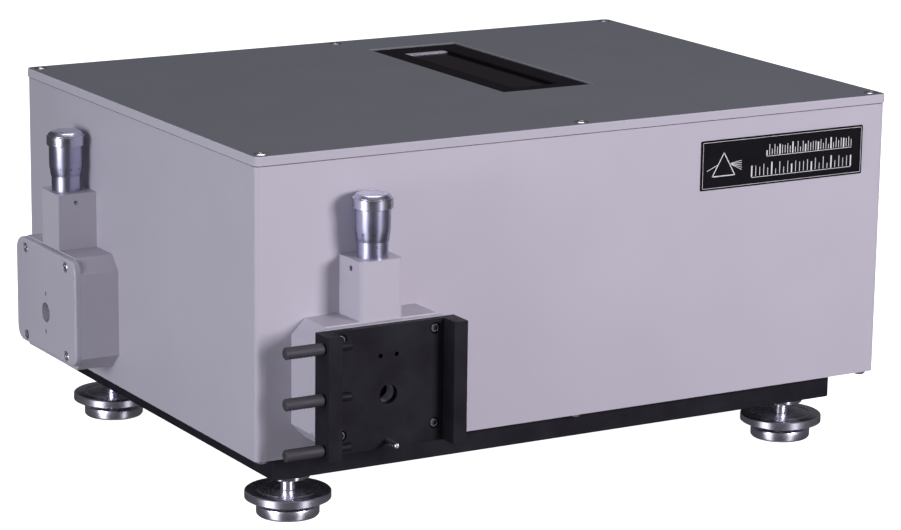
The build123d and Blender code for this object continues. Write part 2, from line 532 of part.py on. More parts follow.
with BuildPart() as accessory_holder:
    with BuildSketch(wall_plane("exit", HOLDER_BACK)):
        with Locations((0, (HOLDER_LOW + HOLDER_HIGH) / 2)):
            Rectangle(HOUSING_WIDTH, HOLDER_HIGH - HOLDER_LOW)
    extrude(amount=HOLDER_FLOOR + RIM_HEIGHT)
    outline_box(wall_plane("exit", HOLDER_FACE), (RIM_INNER, HOLDER_LOW),
                (-RIM_INNER, HOLDER_HIGH), RIM_HEIGHT, Mode.SUBTRACT)
    with BuildSketch(wall_plane("exit", HOLDER_BACK)):
        Circle(APERTURE_RADIUS - 0.4)
        with Locations(*GUIDE_HOLES):
            Circle(FLOOR_HOLE_RADIUS)
        with Locations(*COVER_SCREWS):
            Circle(SMALL_HOLE_RADIUS)
    extrude(amount=HOLDER_FLOOR, mode=Mode.SUBTRACT)
    sink_heads("exit", HOLDER_FACE)
    with BuildSketch(wall_plane("exit", HOLDER_FACE - PIN_SEAT)):
        with Locations(LOCATING_PIN):
            Circle(PIN_ROOT_RADIUS + FIT)
    extrude(amount=PIN_SEAT, mode=Mode.SUBTRACT)
    with BuildSketch(wall_plane("exit", HOLDER_FACE - PIN_RELIEF)):
        with Locations(LOCATING_PIN):
            Circle(PIN_RELIEF_RADIUS)
    extrude(amount=PIN_RELIEF, mode=Mode.SUBTRACT)
    for height in THUMB_HEIGHTS.values():
        centre = wall_plane("exit").from_local_coords((RIM_OUTER, height, THUMB_OUT))
        rod(Plane(origin=centre, z_dir=(1, 0, 0)), TIP_RADIUS + RUNNING, RIM_WIDTH, Mode.SUBTRACT)
finish(accessory_holder, "accessory_holder")



def across(x, height):
    """Gives the plane square to the thumbscrew at a height, x from the exit axis."""
    centre = wall_plane("exit").from_local_coords((x, height, THUMB_OUT))
    return Plane(origin=centre, x_dir=(0, 0, 1), z_dir=(1, 0, 0))


for place, height in THUMB_HEIGHTS.items():
    with BuildPart() as thumbscrew:
        turned(across(RIM_OUTER - THUMB_GAP - THUMB_LENGTH, height), [
            (0, 0), (THUMB_RADIUS - 0.5, 0), (THUMB_RADIUS, 0.5), (THUMB_RADIUS, THUMB_LENGTH - 0.5),
            (THUMB_RADIUS - 0.5, THUMB_LENGTH), (THUMB_SHANK, THUMB_LENGTH),
            (THUMB_SHANK, THUMB_LENGTH + THUMB_GAP + SHANK_REACH),
            (0, THUMB_LENGTH + THUMB_GAP + SHANK_REACH)])
    finish(thumbscrew, f"thumbscrew_{place}")
    with BuildPart() as clamp_tip:
        turned(across(RIM_OUTER, height), [
            (THUMB_SHANK + RUNNING, TIP_START), (TIP_RADIUS, TIP_START),
            (TIP_RADIUS, RIM_WIDTH + TIP_REACH - 0.6),
            (TIP_RADIUS - 0.6, RIM_WIDTH + TIP_REACH), (0, RIM_WIDTH + TIP_REACH),
            (0, TIP_START + TIP_SOCKET), (THUMB_SHANK + RUNNING, TIP_START + TIP_SOCKET)])
    finish(clamp_tip, f"clamp_tip_{place}")

with BuildPart() as locating_pin:
    foot = wall_plane("exit").from_local_coords((*LOCATING_PIN, HOLDER_FACE - PIN_SEAT))
    length = PIN_REACH - HOLDER_FACE + PIN_SEAT
    turned(Plane(origin=foot, x_dir=(1, 0, 0), z_dir=(0, -1, 0)), [
        (0, 0), (PIN_ROOT_RADIUS, 0), (PIN_ROOT_RADIUS, PIN_SEAT), (PIN_RADIUS, PIN_SEAT),
        (PIN_RADIUS, length - 0.6), (PIN_RADIUS - 0.5, length), (0, length)])
finish(locating_pin, "locating_pin")

# ---- small screws of the slit units ----
SET_SCREW_LENGTH, SOCKET_DEPTH = 3.4, 1.4
with BuildPart() as slit_screws:
    for unit, seat in (("entrance", HOLDER_BACK), ("exit", HOLDER_FACE)):
        wall = wall_plane(unit)
        shank = seat - SINK - INNER_DEPTH
        for x, height in COVER_SCREWS:
            centre = wall.from_local_coords((x, height, seat - SINK))
            plane = Plane(origin=centre, x_dir=wall.x_dir, z_dir=wall.z_dir)
            turned(plane, [
                (0, -shank), (SMALL_SCREW_RADIUS, -shank), (SMALL_SCREW_RADIUS, 0),
                (HEAD_RADIUS, 0), (HEAD_RADIUS, HEAD * 0.55), (HEAD_RADIUS * 0.72, HEAD), (0, HEAD)])
            with BuildSketch(plane.offset(HEAD)) as drive:
                RegularPolygon(HEAD_RADIUS / 2, 6)
            extrude(drive.sketch, amount=-SOCKET_DEPTH, mode=Mode.SUBTRACT)
        for sign in (-1, 1):
            start = wall.from_local_coords((
                sign * (SLEEVE_RADIUS + 0.06), SET_SCREW_HEIGHT, MICROMETER_OFFSET))
            plane = Plane(origin=start, z_dir=wall.x_dir * sign)
            rod(plane, SMALL_SCREW_RADIUS, SET_SCREW_LENGTH)
            with BuildSketch(plane.offset(SET_SCREW_LENGTH)) as drive:
                RegularPolygon(0.85, 6)
            extrude(drive.sketch, amount=-SOCKET_DEPTH, mode=Mode.SUBTRACT)
finish(slit_screws, "slit_screws")

# ---- optics ----
MIRROR_RADIUS, MIRROR = 24.0, 8.0
FOCAL_LENGTH = 302.5
SAG = 2 * FOCAL_LENGTH - (4 * FOCAL_LENGTH ** 2 - MIRROR_RADIUS ** 2) ** 0.5
COLLIMATOR = (290.0, ENTRANCE_Y)
FOCUSER = (288.0, 60.0)
FOLD = (EXIT_X, 60.0)
FOLD_MIRROR, FOLD_HALF = 5.0, 18.0
GRATING_SIZE, GRATING_THICKNESS = 50.0, 8.0
CELL_WALL = 4.0


def facing(place, *targets):
    """Gives the upright plane at a place that faces midway between its targets."""
    x, y = place
    ways = [((tx - x) / hypot(tx - x, ty - y), (ty - y) / hypot(tx - x, ty - y)) for tx, ty in targets]
    normal = (sum(way[0] for way in ways), sum(way[1] for way in ways), 0)
    return Plane(origin=spot(x, y, AXIS_HEIGHT), x_dir=Vector(0, 0, 1).cross(Vector(*normal)), z_dir=normal)


GRATING_PLACE = (GRATING_X, GRATING_Y)
COLLIMATOR_FACE = facing(COLLIMATOR, (0.0, ENTRANCE_Y), GRATING_PLACE)
FOCUSER_FACE = facing(FOCUSER, FOLD, GRATING_PLACE)
FOLD_FACE = facing(FOLD, FOCUSER, (EXIT_X, 0.0))

with BuildPart() as concave_mirrors:
    for face in (COLLIMATOR_FACE, FOCUSER_FACE):
        rod(face.offset(-MIRROR), MIRROR_RADIUS, MIRROR)
        with Locations(face.offset(2 * FOCAL_LENGTH - SAG).location):
            Sphere(2 * FOCAL_LENGTH, mode=Mode.SUBTRACT)
finish(concave_mirrors, "concave_mirrors")

with BuildPart() as fold_mirror:
    outline_box(FOLD_FACE.offset(-FOLD_MIRROR), (-FOLD_HALF, -FOLD_HALF), (FOLD_HALF, FOLD_HALF),
                FOLD_MIRROR)
finish(fold_mirror, "fold_mirror")

MOUNT_LOW = -AXIS_HEIGHT + SHEET             # case floor, from the optical axis
MOUNT_HALF, MOUNT_HIGH, MOUNT_WALL, FOOT_LENGTH = 32.0, 30.0, 8.0, 24.0
MOUNT_LIP = 1.0              # how far the mirror stands proud of its mount
KNOBS, KNOB_RADIUS, KNOB_LENGTH = ((-22, 20), (22, 20), (0, -20)), 4.5, 7.0
KNOB_GAP, KNOB_SHANK_RADIUS, KNOB_SHANK_LENGTH = 20.0, 2.0, 12.5
FOLD_HALF, FOLD_HIGH, FOLD_FOOT, FOLD_FOOT_LENGTH = 20.0, 22.0, 21.0, 14.0

with BuildPart() as mirror_mounts:
    for face in (COLLIMATOR_FACE, FOCUSER_FACE):
        outline_box(face.offset(-MIRROR - MOUNT_WALL), (-MOUNT_HALF, MOUNT_LOW), (MOUNT_HALF, MOUNT_HIGH),
                    MOUNT_WALL + MIRROR - MOUNT_LIP)
        rod(face.offset(-MIRROR), MIRROR_RADIUS + FIT, MIRROR, Mode.SUBTRACT)
        outline_box(face.offset(-MIRROR - MOUNT_WALL - FOOT_LENGTH + 2), (-MOUNT_HALF, MOUNT_LOW),
                    (MOUNT_HALF, MOUNT_LOW + MOUNT_WALL), FOOT_LENGTH)
        for knob_x, knob_y in KNOBS:
            centre = face.from_local_coords((knob_x, knob_y, -MIRROR - KNOB_GAP))
            rod(Plane(origin=centre, z_dir=face.z_dir), KNOB_RADIUS, KNOB_LENGTH)
            rod(Plane(origin=centre, z_dir=face.z_dir), KNOB_SHANK_RADIUS, KNOB_SHANK_LENGTH)
    outline_box(FOLD_FACE.offset(-FOLD_MIRROR - MOUNT_WALL), (-FOLD_HALF, MOUNT_LOW),
                (FOLD_HALF, FOLD_HIGH), MOUNT_WALL)
    outline_box(FOLD_FACE.offset(-FOLD_MIRROR - FOLD_FOOT), (-FOLD_HALF, MOUNT_LOW),
                (FOLD_HALF, MOUNT_LOW + MOUNT_WALL), FOLD_FOOT_LENGTH)
finish(mirror_mounts, "mirror_mounts")

# ---- drive deck ----
DECK_LEFT, DECK_RIGHT, DECK_FRONT, DECK_BACK = 48.0, 278.0, 100.0, 281.0
BLOCKS = ((104.0, 112.0), (224.0, 232.0))    # front and back faces of the bearing blocks
ROD_SPREAD, ROD_RADIUS = 22.0, 4.0
BLOCK_HALF, BLOCK_TOP = 30.0, 121.0
SCREW_RADIUS, JOURNAL_RADIUS = 5.0, 3.0
MOTOR_FRONT, MOTOR_BACK, MOTOR_HALF = 252.0, 284.0, 21.0
COUPLING_FRONT, COUPLING_BACK, COUPLING_RADIUS = 234.5, 247.5, 9.0
SHAFT_RADIUS = 6.0
BEARING_RADIUS, BEARING_FLANGE_RADIUS, BEARING_FLANGE, BEARING_DROP = 13.0, 17.0, 3.0, 4.0
DECK_CORNER = 6.0
POST_RADIUS, POST_HOLE_DEPTH, POST_HEAD_RADIUS, POST_HEAD = 6.0, 14.0, 5.0, 5.0
PILOT_RADIUS, PILOT_LENGTH, MOTOR_WALL_RISE, MOTOR_CORNER = 11.0, 2.0, 14.0, 4.0

with BuildPart() as drive_deck:
    slab((DECK_LEFT, DECK_FRONT, DECK_LOW), (DECK_RIGHT, DECK_BACK, DECK_HIGH))
    fillet(edges().filter_by(Axis.Z), DECK_CORNER)
    rod(upright(GRATING_X, GRATING_Y, DECK_LOW), BEARING_RADIUS + FIT, DECK_HIGH - DECK_LOW, Mode.SUBTRACT)
    for x, y in DECK_POSTS:
        rod(upright(x, y, DECK_LOW), PLATE_HOLE_RADIUS, DECK_HIGH - DECK_LOW, Mode.SUBTRACT)
finish(drive_deck, "drive_deck")

with BuildPart() as deck_posts:
    for x, y in DECK_POSTS:
        rod(upright(x, y, SHEET), POST_RADIUS, DECK_LOW - SHEET)
        rod(upright(x, y, SHEET), PLATE_HOLE_RADIUS, POST_HOLE_DEPTH, Mode.SUBTRACT)
        rod(upright(x, y, DECK_LOW), PLATE_SCREW_RADIUS, DECK_HIGH - DECK_LOW)
        rod(upright(x, y, DECK_HIGH), POST_HEAD_RADIUS, POST_HEAD)
finish(deck_posts, "deck_posts")

with BuildPart() as screw_bearings:
    for front, back in BLOCKS:
        slab((SCREW_X - BLOCK_HALF, front, DECK_HIGH), (SCREW_X + BLOCK_HALF, back, BLOCK_TOP))
    along = Plane(origin=spot(SCREW_X, BLOCKS[0][0], SCREW_HEIGHT), x_dir=(1, 0, 0), z_dir=(0, 1, 0))
    reach = BLOCKS[1][1] - BLOCKS[0][0]
    rod(along, JOURNAL_RADIUS + RUNNING, reach, Mode.SUBTRACT)
    for sign in (-1, 1):
        centre = along.from_local_coords((sign * ROD_SPREAD, 0, 0))
        rod(Plane(origin=centre, z_dir=(0, 1, 0)), ROD_RADIUS + FIT, reach, Mode.SUBTRACT)
    slab((SCREW_X - BLOCK_HALF, COUPLING_BACK, DECK_HIGH),
         (SCREW_X + BLOCK_HALF, MOTOR_FRONT, BLOCK_TOP + MOTOR_WALL_RISE))
    rod(Plane(origin=spot(SCREW_X, COUPLING_BACK, SCREW_HEIGHT), z_dir=(0, 1, 0)),
        PILOT_RADIUS + RUNNING, MOTOR_FRONT - COUPLING_BACK, Mode.SUBTRACT)
finish(screw_bearings, "screw_bearings")

with BuildPart() as guide_rods:
    for sign in (-1, 1):
        centre = spot(SCREW_X + sign * ROD_SPREAD, BLOCKS[0][0] - 1, SCREW_HEIGHT)
        rod(Plane(origin=centre, z_dir=(0, 1, 0)), ROD_RADIUS, reach + 2)
finish(guide_rods, "guide_rods")

with BuildPart() as stepper_motor:
    slab((SCREW_X - MOTOR_HALF, MOTOR_FRONT, SCREW_HEIGHT - MOTOR_HALF),
         (SCREW_X + MOTOR_HALF, MOTOR_BACK, SCREW_HEIGHT + MOTOR_HALF))
    chamfer(edges().filter_by(Axis.Y), MOTOR_CORNER)
    rod(Plane(origin=spot(SCREW_X, MOTOR_FRONT - PILOT_LENGTH, SCREW_HEIGHT), z_dir=(0, 1, 0)),
        PILOT_RADIUS, PILOT_LENGTH)
finish(stepper_motor, "stepper_motor")

# ---- lead screw, carriage and scale ----
CARRIAGE_HALF = 8.0
ARM_RISE = ARM * sin(radians(ARM_ANGLE))
ROLLER_RADIUS, ARM_HALF, HUB_RADIUS = 6.5, 5.0, 12.0
PUSH_GAP = 1.2               # lost motion between the roller and the push face at rest
PUSH_FACE = GRATING_Y + ARM_RISE + ROLLER_RADIUS + PUSH_GAP
CARRIAGE_Y = PUSH_FACE + CARRIAGE_HALF
CARRIAGE_LOW, CARRIAGE_HIGH = 103.0, 121.0
ARM_LOW, ARM_HIGH = 92.0, 97.0
SCALE_X, SCALE_WIDTH, SCALE_LOW, SCALE_HIGH = 229.0, 11.0, 126.0, 128.0
POINTER_LOW, POINTER_HIGH = 128.3, 129.3
POINTER_BASE, POINTER_TIP, POINTER_HALF, POST_BACK = 3.0, -8.0, 3.0, 9.0
PUSH_WALL, PUSH_DROP = 5.0, 2.0
JOURNAL_END, THREAD_GAP, COUPLING_GAP = 3.0, 0.5, 1.0
SCALE_BACK = 246.0

with BuildPart() as lead_screw:
    turned(Plane(origin=spot(SCREW_X, 0, SCREW_HEIGHT), x_dir=(1, 0, 0), z_dir=(0, 1, 0)), [
        (0, BLOCKS[0][0] - JOURNAL_END), (JOURNAL_RADIUS, BLOCKS[0][0] - JOURNAL_END),
        (JOURNAL_RADIUS, BLOCKS[0][1] + THREAD_GAP), (SCREW_RADIUS, BLOCKS[0][1] + THREAD_GAP),
        (SCREW_RADIUS, BLOCKS[1][0] - THREAD_GAP), (JOURNAL_RADIUS, BLOCKS[1][0] - THREAD_GAP),
        (JOURNAL_RADIUS, COUPLING_FRONT), (COUPLING_RADIUS, COUPLING_FRONT),
        (COUPLING_RADIUS, COUPLING_BACK - COUPLING_GAP), (0, COUPLING_BACK - COUPLING_GAP)])
finish(lead_screw, "lead_screw")

with BuildPart() as carriage:
    slab((SCREW_X - BLOCK_HALF, CARRIAGE_Y - CARRIAGE_HALF, CARRIAGE_LOW),
         (SCREW_X + BLOCK_HALF, CARRIAGE_Y + CARRIAGE_HALF, CARRIAGE_HIGH))
    through = Plane(origin=spot(SCREW_X, CARRIAGE_Y - CARRIAGE_HALF, SCREW_HEIGHT), z_dir=(0, 1, 0))
    rod(through, SCREW_RADIUS + RUNNING, 2 * CARRIAGE_HALF, Mode.SUBTRACT)
    for sign in (-1, 1):
        centre = spot(SCREW_X + sign * ROD_SPREAD, CARRIAGE_Y - CARRIAGE_HALF, SCREW_HEIGHT)
        rod(Plane(origin=centre, z_dir=(0, 1, 0)), ROD_RADIUS + RUNNING, 2 * CARRIAGE_HALF, Mode.SUBTRACT)
    slab((SCREW_X - BLOCK_HALF, PUSH_FACE, ARM_LOW - PUSH_DROP),
         (SCREW_X + BLOCK_HALF, PUSH_FACE + PUSH_WALL, CARRIAGE_LOW))
    slab((SCREW_X + POINTER_BASE, CARRIAGE_Y - POINTER_HALF, CARRIAGE_HIGH),
         (SCREW_X + POST_BACK, CARRIAGE_Y + POINTER_HALF, POINTER_HIGH))
    with BuildSketch(level(POINTER_LOW)) as needle:
        with BuildLine():
            Polyline((SCREW_X + POINTER_BASE, CARRIAGE_Y - POINTER_HALF),
                     (SCREW_X + POINTER_BASE, CARRIAGE_Y + POINTER_HALF),
                     (SCREW_X + POINTER_TIP, CARRIAGE_Y), close=True)
        make_face()
    extrude(needle.sketch, amount=POINTER_HIGH - POINTER_LOW)
finish(carriage, "carriage")

with BuildPart() as wavelength_scale:
    slab((SCALE_X - SCALE_WIDTH / 2, BLOCKS[0][0], SCALE_LOW),
         (SCALE_X + SCALE_WIDTH / 2, SCALE_BACK, SCALE_HIGH))
    for front, back in BLOCKS:
        slab((SCALE_X - SCALE_WIDTH / 2, front, BLOCK_TOP), (SCALE_X + SCALE_WIDTH / 2, back, SCALE_LOW))
finish(wavelength_scale, "wavelength_scale")

# ---- grating ----
CELL_HALF = GRATING_SIZE / 2 + CELL_WALL
CELL_BACK = GRATING_THICKNESS + CELL_WALL
CELL_FRONT = 9.0             # how far the cell's floor and roof reach past the ruled face
STUB_LOW, STUB_RADIUS, STUB_GAP = 4.0, 4.0, 0.3
SOCKET_FLANGE_RADIUS, SOCKET_FLANGE_TOP, SOCKET_RADIUS, SOCKET_TOP = 14.0, 5.0, 9.0, 7.0
HUB_LIP = 1.0
FACE_LEAD = 4.6              # degrees from the sine arm to the grating's normal
NORMAL_ANGLE = ARM_ANGLE + FACE_LEAD
GRATING_FACE = Plane.XY.rotated((0, 0, NORMAL_ANGLE))
FACE_NORMAL = GRATING_FACE.x_dir
GRATING_PLANE = Plane(
    origin=spot(GRATING_X, GRATING_Y, AXIS_HEIGHT),
    x_dir=Vector(0, 0, 1).cross(FACE_NORMAL), z_dir=FACE_NORMAL)
HALF = GRATING_SIZE / 2

with BuildPart() as grating:
    outline_box(GRATING_PLANE.offset(-GRATING_THICKNESS), (-HALF, -HALF), (HALF, HALF), GRATING_THICKNESS)
finish(grating, "grating")

with BuildPart() as grating_table:
    outline_box(GRATING_PLANE.offset(-CELL_BACK), (-HALF, -HALF - CELL_WALL),
                (HALF, HALF + CELL_WALL), CELL_WALL)
    for low, high in ((-HALF - CELL_WALL, -HALF), (HALF, HALF + CELL_WALL)):
        outline_box(GRATING_PLANE.offset(-CELL_BACK), (-HALF, low), (HALF, high), CELL_BACK + CELL_FRONT)
    rod(upright(GRATING_X, GRATING_Y, AXIS_HEIGHT + HALF + CELL_WALL), SHAFT_RADIUS,
        ARM_HIGH + HUB_LIP - AXIS_HEIGHT - HALF - CELL_WALL)
    rod(upright(GRATING_X, GRATING_Y, STUB_LOW), STUB_RADIUS, AXIS_HEIGHT - HALF - CELL_WALL - STUB_LOW)
    arm_plane = Plane(origin=spot(GRATING_X, GRATING_Y, ARM_LOW)).rotated((0, 0, ARM_ANGLE))
    outline_box(arm_plane, (0, -ARM_HALF), (ARM, ARM_HALF), ARM_HIGH - ARM_LOW)
    rod(upright(GRATING_X, GRATING_Y, ARM_LOW - HUB_LIP), HUB_RADIUS, ARM_HIGH - ARM_LOW + 2 * HUB_LIP)
    tip = arm_plane.from_local_coords((ARM, 0, 0))
    rod(Plane(origin=tip), ROLLER_RADIUS, ARM_HIGH - ARM_LOW)
finish(grating_table, "grating_table")

with BuildPart() as grating_bearings:
    turned(upright(GRATING_X, GRATING_Y, 0), [
        (SHAFT_RADIUS + RUNNING, DECK_LOW - BEARING_DROP), (BEARING_RADIUS, DECK_LOW - BEARING_DROP),
        (BEARING_RADIUS, DECK_HIGH), (BEARING_FLANGE_RADIUS, DECK_HIGH),
        (BEARING_FLANGE_RADIUS, DECK_HIGH + BEARING_FLANGE),
        (SHAFT_RADIUS + RUNNING, DECK_HIGH + BEARING_FLANGE)])
    turned(upright(GRATING_X, GRATING_Y, 0), [
        (0, SHEET), (SOCKET_FLANGE_RADIUS, SHEET), (SOCKET_FLANGE_RADIUS, SOCKET_FLANGE_TOP),
        (SOCKET_RADIUS, SOCKET_FLANGE_TOP), (SOCKET_RADIUS, SOCKET_TOP),
        (STUB_RADIUS + RUNNING, SOCKET_TOP), (STUB_RADIUS + RUNNING, STUB_LOW - STUB_GAP),
        (0, STUB_LOW - STUB_GAP)])
finish(grating_bearings, "grating_bearings")
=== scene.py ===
import json
from math import atan2, pi, radians, sin, tan

import bmesh
import bpy
from bpy.props import FloatProperty, FloatVectorProperty, IntProperty, PointerProperty
from mathutils import Matrix, Vector

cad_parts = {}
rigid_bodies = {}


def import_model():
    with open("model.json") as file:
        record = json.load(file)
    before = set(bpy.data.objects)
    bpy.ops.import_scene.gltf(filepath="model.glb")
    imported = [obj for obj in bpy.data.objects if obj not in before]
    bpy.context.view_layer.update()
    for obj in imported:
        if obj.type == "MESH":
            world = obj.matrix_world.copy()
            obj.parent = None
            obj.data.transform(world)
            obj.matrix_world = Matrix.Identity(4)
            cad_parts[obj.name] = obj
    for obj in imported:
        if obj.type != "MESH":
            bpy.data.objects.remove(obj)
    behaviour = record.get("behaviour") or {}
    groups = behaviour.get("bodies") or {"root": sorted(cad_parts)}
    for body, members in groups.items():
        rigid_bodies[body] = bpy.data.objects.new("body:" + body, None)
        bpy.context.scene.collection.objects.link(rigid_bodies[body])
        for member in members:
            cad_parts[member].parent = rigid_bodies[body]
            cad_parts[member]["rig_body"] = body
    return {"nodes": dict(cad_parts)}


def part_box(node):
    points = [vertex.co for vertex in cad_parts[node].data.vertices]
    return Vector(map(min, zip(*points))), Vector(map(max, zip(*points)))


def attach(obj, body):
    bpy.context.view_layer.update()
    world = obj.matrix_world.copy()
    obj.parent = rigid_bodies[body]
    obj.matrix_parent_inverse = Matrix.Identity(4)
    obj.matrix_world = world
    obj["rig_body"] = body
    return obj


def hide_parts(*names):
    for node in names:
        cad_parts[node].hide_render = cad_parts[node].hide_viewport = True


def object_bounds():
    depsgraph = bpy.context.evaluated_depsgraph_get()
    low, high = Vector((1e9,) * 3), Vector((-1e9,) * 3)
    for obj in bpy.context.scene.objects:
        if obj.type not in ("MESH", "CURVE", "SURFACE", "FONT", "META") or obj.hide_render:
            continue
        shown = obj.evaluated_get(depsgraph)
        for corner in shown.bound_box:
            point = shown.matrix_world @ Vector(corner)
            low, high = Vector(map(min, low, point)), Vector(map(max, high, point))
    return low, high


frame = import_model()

bl_info = {
    "name": "Grating Monochromator",
    "version": (1, 0, 0),
    "blender": (4, 5, 0),
    "location": "3D View > Sidebar > Monochromator",
    "description": "Builds the finished surfaces of a bench-top grating monochromator "
                   "around its frame",
    "category": "Add Mesh",
}

# Sizes are in millimetres and become metres through MM. Places are counted from the case's
# left front bottom corner, and a micrometer's heights from the optical axis.
MM = 0.001
CAD_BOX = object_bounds()
CASE_LOW, CASE_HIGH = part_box("case_shell")
CAD_LID_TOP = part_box("lid")[1].z
UNITS = ("entrance", "exit")
FEET = ("front_left", "front_right", "rear_left", "rear_right")
CLAMPS = ("upper", "middle", "lower")
Y_AXIS, Z_AXIS = 1, 2

# Angles between two faces, in degrees: flatter than FLAT is one face, up to SMOOTH is shaded
# as one surface, and past SHARP is an edge to round. Small round parts keep edges up to CRISP.
FLAT, SMOOTH, SHARP, CRISP = 0.5, 32.0, 40.0, 50.0
# Points of the frame's meshes this near to each other are one point, in metres.
SAME_POINT = 2e-6
# In a turned outline's millimetres: points this near to each other are one point, and points
# this near to the axis, to a knurl's rows or to a radius count as on it.
MEETING, ON_AXIS, ON_ROW, ON_RADIUS = 1e-4, 1e-3, 1e-3, 0.01

# Printed and engraved marks are this thick and stand this far off a turned side. A long mark
# is bent round the side in pieces of about MARK_PIECE, which overlap a little.
MARK_THICK, MARK_PROUD, MARK_PIECE, MARK_OVERLAP = 0.03, 0.004, 0.8, 0.01

# Cards round the instrument that only reflections show: a dim screen, and brighter strips with
# their name, bearing from the front wall's normal, width and glow. Distances are in metres,
# bearings and widths in degrees, and the camera stands at a bearing of -30.
STRIP_DISTANCE, STRIP_HEIGHT = 1.6, 3.2
SCREEN_RADIUS, SCREEN_GLOW, SCREEN_SIDES = 2.4, 0.07, 48
STRIPS = (("strip_left", -74.0, 26.0, 1.6), ("strip_right", 12.0, 15.0, 1.2))
CARD_COLOUR = (0.93, 0.92, 1.0, 1.0)

# Each lamp's place from the instrument's centre and its size, in metres, and its tint.
LAMPS = (("key", (0.50, -1.53, 0.42), 0.45, (1.0, 0.95, 1.03)),
         ("fill", (-1.08, -0.28, 0.12), 0.35, (0.95, 0.96, 1.05)),
         ("top", (0.2, 0.4, 1.6), 0.9, (1.0, 0.98, 1.02)))
AMBIENT, AMBIENT_STRENGTH = (0.30, 0.30, 0.33, 1.0), 0.66
FLOOR_SIZE = 12.0

# The camera's place in millimetres, its bearings in degrees and its shift.
CAMERA_PLACE, CAMERA_SHIFT = (-768.49, -1510.89, 508.56), 0.0610
AZIMUTH, ELEVATION, ROLL = -30.349, 14.267, 0.718


# ---- sizes and colours a user would change ----
def length(name, description, default):
    """A length in metres, given in millimetres."""
    return FloatProperty(name=name, description=description, default=default * MM, min=0.0,
                         unit="LENGTH", precision=5)


def colour(name, description, default):
    """A surface colour in linear light."""
    return FloatVectorProperty(name=name, description=description, default=default, min=0.0,
                               max=1.0, size=3, subtype="COLOR")


def power(name, description, default):
    """A lamp's power in watts."""
    return FloatProperty(name=name, description=description, default=default, min=0.0,
                         unit="POWER")


class MonochromatorSizes(bpy.types.PropertyGroup):
    """Edge radii, knurls and threads."""
    sheet_edge: length("Sheet edge", "Radius of the lid and case rims", 0.35)
    cast_edge: length("Cast edge", "Radius of the slit housings' edges", 0.9)
    milled_edge: length("Milled edge", "Radius of milled and anodised edges", 0.4)
    fine_edge: length("Fine edge", "Radius of small turned and cut edges", 0.15)
    knurl_depth: length("Knurl depth", "Depth of the thumbscrews' diamond knurl", 0.46)
    ring_knurl_depth: length("Ring knurl depth", "Depth of the micrometer ring's fine knurl", 0.09)
    wheel_knurl_depth: length("Wheel knurl depth", "Depth of the levelling wheels' rim knurl", 0.14)
    stud_pitch: length("Stud pitch", "Thread pitch of the levelling studs", 1.25)
    lead: length("Lead", "Thread pitch of the lead screw", 2.0)
    thread_depth: length("Thread depth", "Depth of the lead screw's thread", 0.70)
    stud_depth: length("Stud depth", "Depth of the levelling studs' fine thread", 0.10)
    mark_width: length("Mark width", "Width of the engraved graduations", 0.13)
    steps: IntProperty(name="Turned steps", description="Sides of a turned piece", default=96,
                       min=24, max=256)


class MonochromatorColours(bpy.types.PropertyGroup):
    """Paints, coatings and metals."""
    wall_paint: colour("Wall paint", "Powder coat of the case and slit units", (0.50, 0.475, 0.535))
    # The lid top's colour: the walls' paint darkened as painted shade, since little light falls on
    # the top.
    lid_paint: colour("Lid paint", "Powder coat of the lid", (0.156, 0.164, 0.182))
    black_anodised: colour("Black anodised", "Base plate and holder", (0.0170, 0.0160, 0.0210))
    chrome: colour("Satin chrome", "Micrometer heads", (0.50, 0.50, 0.66))
    # The ring's and cap's chrome: the satin chrome made lighter as a painted sheen for the light
    # the knurl scatters.
    bright_chrome: colour("Bright chrome", "Micrometer rings and caps", (0.62, 0.62, 0.74))
    steel: colour("Polished steel", "Feet and shafts", (0.84, 0.83, 0.92))
    window: colour("Window", "Smoked viewing window", (0.010, 0.006, 0.008))


class MonochromatorStage(bpy.types.PropertyGroup):
    """Floor, lamps and camera."""
    key_power: power("Key power", "Power of the key lamp", 18.6)
    fill_power: power("Fill power", "Power of the left lamp", 5.0)
    top_power: power("Top power", "Power of the overhead lamp", 9.6)
    floor_glow: FloatProperty(name="Floor glow", description="Light given off by the floor",
                              default=1.0, min=0.0)
    focal_length: FloatProperty(name="Focal length", description="Camera lens in millimetres",
                                default=135.448, min=1.0, unit="CAMERA")


